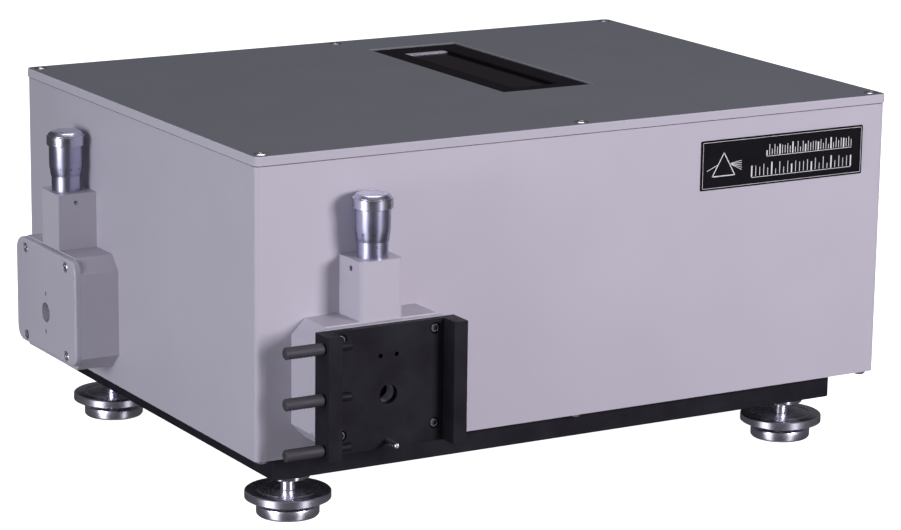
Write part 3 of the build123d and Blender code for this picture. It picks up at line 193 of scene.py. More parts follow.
# ---- materials ----
class Finish:
    """One procedural material, built outwards from its Principled shader."""

    def __init__(self, name, base, roughness, metallic=0.0, shine=0.5, **fixed):
        self.material = bpy.data.materials.new(name)
        self.material.use_nodes = True
        self.nodes = self.material.node_tree.nodes
        self.links = self.material.node_tree.links
        self.shader = self.nodes["Principled BSDF"]
        self.base = base
        self.set(self.shader, {"Base Color": (*base, 1.0), "Roughness": roughness,
                               "Metallic": metallic, "Specular IOR Level": shine, **fixed})
        self.material.diffuse_color = (*base, 1.0)
        self.coordinates = self.nodes.new("ShaderNodeTexCoord").outputs["Object"]

    @staticmethod
    def set(node, values):
        """Sets a node's sockets by name or number."""
        for socket, value in values.items():
            node.inputs[socket].default_value = value

    def node(self, kind, values=None, **settings):
        """Adds a shader node with its socket values and its settings."""
        made = self.nodes.new("ShaderNode" + kind)
        for setting, value in settings.items():
            setattr(made, setting, value)
        self.set(made, values or {})
        return made

    def placed(self, centre=(0, 0, 0), stretch=(1, 1, 1)):
        """Object coordinates about a centre, stretched along the axes."""
        mapping = self.node("Mapping", {"Location": [-c * s for c, s in zip(centre, stretch)],
                                        "Scale": stretch})
        self.links.new(self.coordinates, mapping.inputs["Vector"])
        return mapping.outputs["Vector"]

    def noise(self, per_metre, detail=2.0, stretch=(1, 1, 1), centre=(0, 0, 0)):
        """Noise with a number of grains to the metre."""
        noise = self.node("TexNoise", {"Scale": per_metre, "Detail": detail, "Roughness": 0.55})
        self.links.new(self.placed(centre, stretch), noise.inputs["Vector"])
        return noise.outputs["Fac"]

    def rings(self, centre, axis, per_metre):
        """Turning marks: noise that only changes with the distance from an axis."""
        flat = [0.0 if i == axis else 1.0 for i in range(3)]
        reach = self.node("VectorMath", operation="LENGTH")
        self.links.new(self.placed(centre, flat), reach.inputs[0])
        spread = self.node("CombineXYZ")
        self.links.new(reach.outputs["Value"], spread.inputs["X"])
        noise = self.node("TexNoise", {"Scale": per_metre, "Detail": 3.0})
        self.links.new(spread.outputs["Vector"], noise.inputs["Vector"])
        return noise.outputs["Fac"]

    def remap(self, value, low, high, start=0.3, end=0.7):
        """Stretches start to end, by default what noise mostly covers, to low to high."""
        remap = self.node("MapRange", {"From Min": start, "From Max": end, "To Min": low,
                                       "To Max": high})
        self.links.new(value, remap.inputs["Value"])
        return remap.outputs["Result"]

    def vary_colour(self, value, spread):
        """Lightens and darkens the base colour a little."""
        mix = self.node("MixRGB", {
            "Color1": (*[c * (1 - spread) for c in self.base], 1.0),
            "Color2": (*[min(1.0, c * (1 + spread)) for c in self.base], 1.0)})
        self.links.new(self.remap(value, 0.0, 1.0), mix.inputs["Fac"])
        self.links.new(mix.outputs["Color"], self.shader.inputs["Base Color"])

    def split_colour(self, axis, at, below, above, island=None):
        """Changes the colour where an object coordinate passes a place, and inside an island."""
        parts = self.node("SeparateXYZ")
        self.links.new(self.coordinates, parts.inputs["Vector"])
        blur = 0.05 * MM
        step = self.remap(parts.outputs[axis], 0.0, 1.0, at - blur, at + blur)
        if island:
            step = self.widened(step, parts, *island)
        mix = self.node("MixRGB", {"Color1": (*below, 1.0), "Color2": (*above, 1.0)})
        self.links.new(step, mix.inputs["Fac"])
        self.links.new(mix.outputs["Color"], self.shader.inputs["Base Color"])

    def widened(self, step, parts, low, high):
        """Adds a box seen from above, and a millimetre more all round, to a step from 0 to 1."""
        inside = None
        for index, axis in enumerate("XY"):
            centre, half = (low[index] + high[index]) / 2, (high[index] - low[index]) / 2
            near = self.node("Math", {1: centre, 2: half + MM}, operation="COMPARE")
            self.links.new(parts.outputs[axis], near.inputs[0])
            if inside:
                both = self.node("Math", operation="MINIMUM")
                self.links.new(inside.outputs[0], both.inputs[0])
                self.links.new(near.outputs[0], both.inputs[1])
                near = both
            inside = near
        either = self.node("Math", operation="MAXIMUM")
        self.links.new(step, either.inputs[0])
        self.links.new(inside.outputs[0], either.inputs[1])
        return either.outputs[0]

    def vary_roughness(self, value, low, high):
        """Makes the surface duller and glossier in patches."""
        self.links.new(self.remap(value, low, high), self.shader.inputs["Roughness"])

    def relief(self, value, depth, strength=1.0):
        """Raises the surface by up to a depth in millimetres."""
        bump = self.node("Bump", {"Strength": strength, "Distance": depth * MM})
        self.links.new(value, bump.inputs["Height"])
        previous = self.shader.inputs["Normal"].links
        if previous:
            self.links.new(previous[0].from_socket, bump.inputs["Normal"])
        self.links.new(bump.outputs["Normal"], self.shader.inputs["Normal"])


def powder_coat(name, base):
    """Satin powder coat with a fine orange peel and faint handling marks."""
    finish = Finish(name, base, 0.42, shine=0.40)
    finish.relief(finish.noise(per_metre=620.0, detail=2.0), depth=0.035, strength=0.5)
    finish.relief(finish.noise(per_metre=2400.0, detail=1.0), depth=0.010, strength=0.4)
    finish.vary_colour(finish.noise(per_metre=9.0, detail=4.0), spread=0.025)
    finish.vary_roughness(finish.noise(per_metre=26.0, detail=5.0), low=0.36, high=0.50)
    return finish.material


def lid_coat(name, top, rim):
    """The lid's coat: the walls' paint round its rim, and on top a darker colour that is painted
    shade.
    """
    finish = Finish(name, top, 0.5, shine=0.08)
    finish.relief(finish.noise(per_metre=620.0, detail=2.0), depth=0.030, strength=0.5)
    corner = 0.12 * MM
    # Above the rim's rounded corner, and round the window, the lid takes the darker top colour:
    # painted shade for the little light on the top.
    finish.split_colour("Z", CAD_LID_TOP - corner, rim, top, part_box("window_frame"))
    finish.vary_roughness(finish.noise(per_metre=26.0, detail=5.0), low=0.44, high=0.58)
    return finish.material


def black_anodised(name, base):
    """Black anodised aluminium with the milling grain showing through."""
    finish = Finish(name, base, 0.45, shine=0.08)
    grain = (1, 1, 14)
    finish.relief(finish.noise(per_metre=320.0, detail=3.0, stretch=grain), depth=0.018,
                  strength=0.6)
    finish.vary_colour(finish.noise(per_metre=60.0, detail=4.0), spread=0.28)
    finish.vary_roughness(finish.noise(per_metre=140.0, detail=4.0, stretch=grain), low=0.38,
                          high=0.56)
    return finish.material


def turned_metal(name, base, centre=(0, 0, 0), axis=Z_AXIS, roughness=(0.10, 0.20)):
    """Turned metal: rings on its end faces and fine lines round its sides."""
    finish = Finish(name, base, roughness[0], metallic=1.0)
    along = [60.0 if i == axis else 1.0 for i in range(3)]
    depth, strength = 0.0015, 0.5
    finish.relief(finish.rings(centre, axis, per_metre=1100.0), depth, strength)
    finish.relief(finish.noise(per_metre=20.0, detail=2.0, stretch=along, centre=centre), depth,
                  strength)
    finish.vary_roughness(finish.noise(per_metre=120.0, detail=2.0), *roughness)
    finish.vary_colour(finish.noise(per_metre=45.0, detail=2.0), spread=0.04)
    return finish.material


def milled_aluminium(name, base=(0.62, 0.62, 0.64)):
    """Bare milled metal."""
    finish = Finish(name, base, 0.32, metallic=1.0)
    finish.relief(finish.noise(per_metre=160.0, detail=3.0, stretch=(1, 12, 1)), depth=0.012,
                  strength=0.6)
    finish.vary_roughness(finish.noise(per_metre=90.0, detail=4.0), low=0.25, high=0.42)
    finish.vary_colour(finish.noise(per_metre=20.0, detail=3.0), spread=0.06)
    return finish.material


def moulded(name, base, roughness=0.5, shine=0.5):
    """Moulded plastic or rubber with a light spark-eroded grain."""
    finish = Finish(name, base, roughness, shine=shine)
    finish.relief(finish.noise(per_metre=1500.0, detail=2.0), depth=0.02, strength=0.6)
    finish.vary_roughness(finish.noise(per_metre=80.0, detail=3.0), low=roughness - 0.06,
                          high=roughness + 0.08)
    finish.vary_colour(finish.noise(per_metre=40.0, detail=3.0), spread=0.10)
    return finish.material


def plate_enamel(name, base):
    """The nameplate's black enamel."""
    finish = Finish(name, base, 0.40, shine=0.06)
    finish.vary_roughness(finish.noise(per_metre=90.0, detail=4.0), low=0.34, high=0.48)
    finish.vary_colour(finish.noise(per_metre=60.0, detail=3.0), spread=0.2)
    return finish.material


def screw_steel(name, bright, blackened):
    """Bright heads on the entrance unit, and blackened ones in the exit unit's holder."""
    finish = Finish(name, bright, 0.3, metallic=1.0)
    finish.split_colour("X", CASE_LOW.x, bright, blackened)
    finish.vary_roughness(finish.noise(per_metre=300.0, detail=3.0), low=0.26, high=0.36)
    return finish.material


def ink(name, base):
    """Screen-printed or filled marks."""
    finish = Finish(name, base, 0.55)
    finish.vary_colour(finish.noise(per_metre=700.0, detail=2.0), spread=0.08)
    return finish.material


def smoked_glass(name, base):
    """Smoked acrylic that shows the scale under it faintly."""
    finish = Finish(name, base, 0.06, shine=0.03, Alpha=0.94)
    finish.vary_roughness(finish.noise(per_metre=30.0, detail=4.0), low=0.04, high=0.10)
    finish.material.surface_render_method = "BLENDED"
    return finish.material


def mirror_coat(name, base, ruled=False):
    """Front-surface mirror; a ruled one has the grating's fine lines as relief."""
    finish = Finish(name, base, 0.04, metallic=1.0)
    if ruled:
        lines = finish.noise(per_metre=900.0, detail=1.0, stretch=(6, 6, 0.02))
        finish.relief(lines, depth=0.003, strength=0.8)
    finish.vary_roughness(finish.noise(per_metre=50.0, detail=3.0), low=0.03, high=0.07)
    return finish.material


def sizes():
    """The sizes a user can change."""
    return bpy.context.scene.monochromator_sizes


def colours():
    """The colours a user can change."""
    return bpy.context.scene.monochromator_colours


def material(name, maker, *arguments, **options):
    """Gives a material by name, made on its first use."""
    name = f"finish_{name}"
    return bpy.data.materials.get(name) or maker(name, *arguments, **options)


def wall_paint():
    return material("wall_paint", powder_coat, tuple(colours().wall_paint))


def anodised():
    return material("black_anodised", black_anodised, tuple(colours().black_anodised))


def aluminium():
    return material("milled_aluminium", milled_aluminium)


def black_ink():
    return material("black_ink", ink, (0.02, 0.02, 0.025))


def white_ink():
    return material("white_ink", ink, (0.72, 0.72, 0.72))


def steel_about(node, axis=Z_AXIS):
    """Turned steel whose rings are centred on a node."""
    return material(f"turned_{node}", turned_metal, tuple(colours().steel), middle(node), axis,
                    (0.25, 0.30))


# ---- places ----
def middle(node):
    """The centre of a node's box, in metres."""
    low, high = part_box(node)
    return (low + high) / 2


def optical_axis():
    """The height of the light's path through the slits and mirrors, in metres."""
    return middle("concave_mirrors").z


def place(x, y, z):
    """The place of a point counted in millimetres from the case's corner."""
    return CASE_LOW + Vector((x, y, z)) * MM


def axes(origin, across, up, out):
    """A matrix from a piece's own millimetres to the frame."""
    turn = Matrix((across, up, out)).transposed().to_4x4()
    return Matrix.Translation(origin) @ turn @ Matrix.Scale(MM, 4)


def upright_axes(node, height):
    """Upright millimetres on a node's axis, from a height in metres."""
    centre = middle(node)
    return axes((centre.x, centre.y, height), (1, 0, 0), (0, 1, 0), (0, 0, 1))


# ---- meshes ----
def lathe(outline, steps, relief=None):
    """Spins an outline of (radius, height) points round Z.

    relief(column, angle, height, radius) is how far outwards it moves a point.
    """
    shape = bmesh.new()
    rows = [shape.verts.new((radius, 0.0, height)) for radius, height in outline]
    edges = [shape.edges.new(pair) for pair in zip(rows, rows[1:])]
    bmesh.ops.spin(shape, geom=rows + edges, cent=(0, 0, 0), axis=(0, 0, 1), dvec=(0, 0, 0),
                   angle=2 * pi, steps=steps, use_merge=True, use_duplicate=False)
    bmesh.ops.remove_doubles(shape, verts=shape.verts, dist=MEETING)
    if relief:
        for vert in shape.verts:
            radius = vert.co.xy.length
            if radius > ON_AXIS:
                angle = atan2(vert.co.y, vert.co.x) % (2 * pi)
                column = round(angle / (2 * pi) * steps)
                scale = 1 + relief(column, angle, vert.co.z, radius) / radius
                vert.co.x *= scale
                vert.co.y *= scale
    bmesh.ops.recalc_face_normals(shape, faces=shape.faces)
    return shape


def rows_between(low, high, count):
    """Evenly spaced heights from low to high, both ends included."""
    return [low + (high - low) * i / count for i in range(count + 1)]


def thread(low, high, pitch, depth, radius):
    """A helical groove on the part of a turned shape that has the thread's radius."""
    def cut(column, angle, height, at):
        if not low < height < high or abs(at - radius) > ON_RADIUS:
            return 0.0
        turn = (height / pitch - angle / (2 * pi)) % 1.0
        return -depth * abs(2 * turn - 1)
    return cut


def diamonds(band, depth, radius):
    """A diamond knurl: every other point of a band's rows is pressed in."""
    spacing = band[1] - band[0]

    def press(column, angle, height, at):
        if at < radius - ON_RADIUS or not band[0] - ON_ROW < height < band[-1] + ON_ROW:
            return 0.0
        return -depth * ((column + round((height - band[0]) / spacing)) % 2)
    return press


def block(shape, low, high):
    """Adds a box between two corners."""
    centre = (Vector(low) + Vector(high)) / 2
    size = Vector(high) - Vector(low)
    bmesh.ops.create_cube(shape, size=1.0,
                          matrix=Matrix.Translation(centre) @ Matrix.Diagonal((*size, 1.0)))


def bar(shape, matrix, width, height, depth):
    """Adds a thin mark, centred where the matrix puts it: width by height, and depth outwards."""
    bmesh.ops.create_cube(shape, size=1.0,
                          matrix=matrix @ Matrix.Diagonal((width, height, depth, 1.0)))


def lettered(shape, text, size, matrix, thickness):
    """Adds generic dial numerals as flat shapes, in the matrix's XY plane."""
    curve = bpy.data.curves.new("numeral", "FONT")
    curve.body = text
    curve.size = size
    curve.extrude = thickness / 2
    curve.resolution_u = 3
    curve.align_x = "CENTER"
    curve.align_y = "CENTER"
    holder = bpy.data.objects.new("numeral", curve)
    mesh = bpy.data.meshes.new_from_object(holder)
    mesh.transform(matrix)
    shape.from_mesh(mesh)
    bpy.data.objects.remove(holder)
    bpy.data.curves.remove(curve)
    bpy.data.meshes.remove(mesh)


def finish_piece(name, shape, matrix, body, finish, nodes=()):
    """Makes a piece of a shape in its own millimetres, in place, riding on its body."""
    shape.transform(matrix)
    mesh = bpy.data.meshes.new(name)
    shape.to_mesh(mesh)
    shape.free()
    piece = bpy.data.objects.new(name, mesh)
    bpy.context.scene.collection.objects.link(piece)
    mesh.materials.append(finish)
    mesh.shade_smooth()
    mesh.set_sharp_from_angle(angle=radians(SMOOTH))
    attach(piece, body)
    for node in nodes:
        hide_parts(node)
    return piece


def body_of(node):
    """The body that a CAD node rides on."""
    return frame["nodes"][node]["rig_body"]


def softened(node, finish, edge, segments=3, angle=SHARP):
    """A merged copy of a CAD node with real rounded edges."""
    shape = bmesh.new()
    shape.from_mesh(frame["nodes"][node].data)
    bmesh.ops.remove_doubles(shape, verts=shape.verts, dist=SAME_POINT)
    bmesh.ops.dissolve_limit(shape, angle_limit=radians(FLAT), verts=shape.verts,
                             edges=shape.edges)
    piece = finish_piece(f"{node}_finished", shape, Matrix.Identity(4), body_of(node), finish,
                         (node,))
    bevel = piece.modifiers.new("rounded edges", "BEVEL")
    bevel.width = edge
    bevel.segments = segments
    bevel.limit_method = "ANGLE"
    bevel.angle_limit = radians(angle)
    bevel.use_clamp_overlap = True
    bevel.miter_outer = "MITER_ARC"
    weighted = piece.modifiers.new("flat faces stay flat", "WEIGHTED_NORMAL")
    weighted.keep_sharp = True


def turned_piece(node, outline, matrix, finish, steps=None, relief=None):
    """Turns a piece that stands for a CAD node, riding on the node's body."""
    shape = lathe(outline, steps or sizes().steps, relief)
    piece = finish_piece(f"{node}_turned", shape, matrix, body_of(node), finish, (node,))


def added_piece(name, node, shape, matrix, finish):
    """Adds a piece, such as printed or engraved marks, riding on a CAD node's body."""
    bmesh.ops.recalc_face_normals(shape, faces=shape.faces)
    piece = finish_piece(name, shape, matrix, body_of(node), finish)


class Maker(bpy.types.Operator):
    """Common options of the operators that build the instrument."""
    bl_options = {"REGISTER", "UNDO"}


# ---- cabinet ----
class MONO_OT_cabinet(Maker):
    """Finishes the case, its lid, the seam and the case screws"""
    bl_idname = "mono.cabinet"
    bl_label = "Cabinet"

    GASKET_EDGE = 0.1

    def execute(self, context):
        edge, fine = sizes().sheet_edge, sizes().fine_edge
        softened("case_shell", wall_paint(), edge)
        # The lid's top takes the darker colour as painted shade; its rim keeps the wall paint.
        softened("lid", material("lid_coat", lid_coat, tuple(colours().lid_paint),
                                 tuple(colours().wall_paint)), edge, 2, CRISP)
        softened("corner_posts", aluminium(), fine, 2)
        rubber = material("gasket_rubber", moulded, (0.10, 0.095, 0.11), 0.75)
        softened("lid_gasket", rubber, self.GASKET_EDGE * MM, 1)
        zinc = material("bright_zinc", turned_metal, (0.68, 0.68, 0.70), roughness=(0.16, 0.28))
        for screws in ("lid_screws", "underside_screws"):
            softened(screws, zinc, fine, 2, CRISP)
        return {"FINISHED"}


class MONO_OT_window(Maker):
    """Finishes the viewing window's frame and smoked glass, with a painted glint and a painted
    highlight on them
    """
    bl_idname = "mono.window"
    bl_label = "Window"

    # The painted glint, a light strip on the glass at its rear end: its distance from the glass's
    # ends, its front and rear edges from the glass's rear, and its faces' heights above the glass.
    STRIP_ENDS, STRIP_FRONT, STRIP_REAR, STRIP_BOTTOM, STRIP_TOP = 5.0, 10.5, 2.6, 0.02, 0.6
    # The painted highlight along the frame's front edge: its distance from the frame's ends, its
    # width and its depths in the frame.
    LINE_ENDS, LINE_WIDTH, LINE_BOTTOM, LINE_TOP = 0.4, 0.5, 0.3, 0.02

    def execute(self, context):
        fine = sizes().fine_edge
        enamel = material("frame_enamel", moulded, (0.010, 0.007, 0.009), 0.55, shine=0.05)
        softened("window_frame", enamel, fine * 2)
        softened("window_glass", material("smoked_glass", smoked_glass, tuple(colours().window)),
                 fine, 2)
        self.bright_edges()
        return {"FINISHED"}

    def bright_edges(self):
        """A painted glint, a light strip on the glass at its rear end, and a painted highlight
        along the frame's front edge.
        """
        shape = bmesh.new()
        low, high = [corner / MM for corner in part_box("window_glass")]
        block(shape, (low.x + self.STRIP_ENDS, high.y - self.STRIP_FRONT,
                      high.z + self.STRIP_BOTTOM),
              (high.x - self.STRIP_ENDS, high.y - self.STRIP_REAR, high.z + self.STRIP_TOP))
        low, high = [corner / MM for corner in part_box("window_frame")]
        block(shape, (low.x + self.LINE_ENDS, low.y, high.z - self.LINE_BOTTOM),
              (high.x - self.LINE_ENDS, low.y + self.LINE_WIDTH, high.z - self.LINE_TOP))
        # A light grey that paints the glint and the edge highlight.
        painted_glint = material("bare_strip", moulded, (0.42, 0.42, 0.48), 0.4)
        added_piece("window_bright_edges", "window_frame", shape,
                    Matrix.Diagonal((MM, MM, MM, 1.0)), painted_glint)


# ---- nameplate ----
class MONO_OT_nameplate(Maker):
    """Finishes the black nameplate with a plain border and a generic prism and spectrum drawing"""
    bl_idname = "mono.nameplate"
    bl_label = "Nameplate"

    INK_THICK, INK_SUNK = 0.02, 0.004
    BORDER_INSET, BORDER_LINE = 1.1, 0.22
    # The prism's middle from the left edge, its side, how far from its middle the light meets
    # its faces, and the widths of its lines, of the ray and of the fan.
    PRISM_PLACE, PRISM_SIDE, PRISM_FACE = 15.0, 15.0, 3.8
    PRISM_LINE, RAY_LINE, FAN_LINE = 0.55, 0.35, 0.28
    RAY_START = (-11.0, -3.0)
    FAN_RAYS, FAN_END, FAN_TOP, FAN_STEP = 5, 12.0, 1.2, 1.3
    # Each row's height as a share of the plate's, its tallest line, how many lines it has and
    # how far it is set in.
    ROWS = ((0.60, 5.6, 34, 10.0), (0.20, 6.4, 26, 0.0))
    # The rows' distances from the plate's ends, the weakest line's share of the tallest, two
    # widths of line, and the phases of the wave that makes the lines strong and weak.
    ROWS_LEFT, ROWS_RIGHT, WEAKEST, LINE, STRONG_LINE = 34.0, 8.0, 0.35, 0.42, 0.92
    LINE_PHASE, ROW_PHASE = 1.7, 2.3
    BASE_DROP, BASE_LINE = 0.9, 0.3

    def execute(self, context):
        black = plate_enamel("nameplate_enamel", (0.0068, 0.0065, 0.0085))
        softened("nameplate", black, sizes().fine_edge * 1.6, 2)
        low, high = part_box("nameplate")
        width, height = (high.x - low.x) / MM, (high.z - low.z) / MM
        face = axes(low, (1, 0, 0), (0, 0, 1), (0, -1, 0))
        art = bmesh.new()
        self.border(art, width, height)
        self.prism(art, self.PRISM_PLACE, height / 2)
        self.spectrum(art, self.ROWS_LEFT, width - self.ROWS_RIGHT, height)
        added_piece("nameplate_art", "nameplate", art,
                    face @ Matrix.Translation((0, 0, -self.INK_SUNK)), white_ink())
        return {"FINISHED"}

    def stroke(self, art, start, end, width):
        """A straight printed line between two points."""
        run = Vector(end) - Vector(start)
        turn = Matrix.Rotation(atan2(run.y, run.x), 4, "Z")
        centre = (Vector(start) + Vector(end)) / 2
        bar(art, Matrix.Translation((centre.x, centre.y, 0)) @ turn, run.length + width, width,
            self.INK_THICK)

    def loop(self, art, corners, width):
        """Straight lines round a closed outline."""
        for start, end in zip(corners, corners[1:] + corners[:1]):
            self.stroke(art, start, end, width)

    def border(self, art, width, height):
        """A plain line round the plate."""
        left, right, top = self.BORDER_INSET, width - self.BORDER_INSET, height - self.BORDER_INSET
        self.loop(art, [(left, left), (right, left), (right, top), (left, top)],
                  self.BORDER_LINE)

    def prism(self, art, x, y):
        """A prism with a ray that fans out of it."""
        half = self.PRISM_SIDE / 2
        rise = half * sin(radians(60))
        self.loop(art, [(x - half, y - rise), (x + half, y - rise), (x, y + rise)],
                  self.PRISM_LINE)
        self.stroke(art, (x + self.RAY_START[0], y + self.RAY_START[1]),
                    (x - self.PRISM_FACE, y), self.RAY_LINE)
        for ray in range(self.FAN_RAYS):
            end = (x + self.FAN_END, y + self.FAN_TOP - self.FAN_STEP * ray)
            self.stroke(art, (x + self.PRISM_FACE, y), end, self.FAN_LINE)

    def spectrum(self, art, left, right, height):
        """Two rows of spectral lines, each over a base line; every fifth line is a strong one."""
        for row, (share, tall, count, inset) in enumerate(self.ROWS):
            start, base = left + inset, height * share
            for line in range(count):
                x = start + (right - start) * line / (count - 1)
                wave = abs(sin(self.LINE_PHASE * line + self.ROW_PHASE * row))
                strength = self.WEAKEST + (1 - self.WEAKEST) * wave
                self.stroke(art, (x, base), (x, base + tall * strength),
                            self.LINE if line % 5 else self.STRONG_LINE)
            level = base - self.BASE_DROP
            self.stroke(art, (start, level), (right, level), self.BASE_LINE)


# ---- base and feet ----
class MONO_OT_base(Maker):
    """Finishes the black base plate"""
    bl_idname = "mono.base"
    bl_label = "Base plate"

    def execute(self, context):
        softened("base_plate", anodised(), sizes().milled_edge)
        return {"FINISHED"}


class MONO_OT_feet(Maker):
    """Turns the levelling feet: flanged bushings, knurled wheels on threaded studs, and pads"""
    bl_idname = "mono.feet"
    bl_label = "Levelling feet"

    # Radii of the stud and wheel, the wheel's thickness and its lower face above the stud's
    # tip, and the steps up the stud's two parts and round the wheel.
    STUD, WHEEL, THICK, LOWER_FACE = 3.97, 23.25, 5.0, 5.95
    LOWER_STEPS, UPPER_STEPS, ROUND_STEPS = 16, 72, 240
    # Radii of the pad and of its socket, and the socket's floor.
    PAD, SOCKET, SOCKET_FLOOR = 17.0, 4.05, 3.0

    def execute(self, context):
        for foot in FEET:
            self.wheel(f"foot_wheel_{foot}")
            self.pad(f"foot_pad_{foot}")
        bushing_steel = material("bushing_steel", turned_metal, tuple(colours().steel))
        softened("foot_bushings", bushing_steel, sizes().fine_edge, 2)
        return {"FINISHED"}

    def wheel(self, node):
        """A knurled wheel on its threaded stud."""
        low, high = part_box(node)
        stud, wheel, bottom = self.STUD, self.WHEEL, self.LOWER_FACE
        face, top = bottom + self.THICK, (high.z - low.z) / MM
        outline = [(0, 0), (stud - 0.6, 0), (stud, 0.6)]                        # the tip
        outline += [(stud, z) for z in rows_between(0.8, bottom - 0.4, self.LOWER_STEPS)]
        outline += [(stud + 0.4, bottom), (wheel - 1.6, bottom), (wheel - 0.9, bottom + 0.2)]
        outline += [(wheel, z) for z in rows_between(bottom + 0.7, face - 0.7, 4)]
        outline += [(wheel - 0.25, face - 0.45), (wheel - 0.7, face - 0.12),    # the upper edge
                    (wheel - 1.3, face), (17.0, face), (16.8, face - 0.25),     # a turned groove
                    (16.4, face - 0.25), (16.2, face), (7.5, face),
                    (7.2, face - 0.2), (stud + 0.3, face - 0.2)]                # the sunk middle
        outline += [(stud, z) for z in rows_between(face + 0.1, top - 0.6, self.UPPER_STEPS)]
        outline += [(stud - 0.6, top), (0, top)]
        depth = sizes().wheel_knurl_depth / MM
        cut = thread(0.7, top - 0.5, sizes().stud_pitch / MM, sizes().stud_depth / MM, stud)

        def relief(column, angle, height, radius):
            if abs(radius - wheel) < ON_RADIUS:
                return -depth * (column % 2)
            return cut(column, angle, height, radius)

        turned_piece(node, outline, upright_axes(node, low.z), steel_about(node),
                     self.ROUND_STEPS, relief)

    def pad(self, node):
        """A round pad with a socket for the stud's tip."""
        low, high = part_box(node)
        radius, socket, top = self.PAD, self.SOCKET, (high.z - low.z) / MM
        outline = [(0, 0), (radius - 1.6, 0), (radius - 0.7, 0.3), (radius - 0.15, 0.9),
                   (radius, 1.5), (radius, top - 0.7), (radius - 0.2, top - 0.2),
                   (radius - 0.7, top), (6.0, top), (5.7, top - 0.2), (socket + 0.25, top - 0.2),
                   (socket, top - 0.4), (socket, self.SOCKET_FLOOR), (0, self.SOCKET_FLOOR)]
        turned_piece(node, outline, upright_axes(node, low.z), steel_about(node))


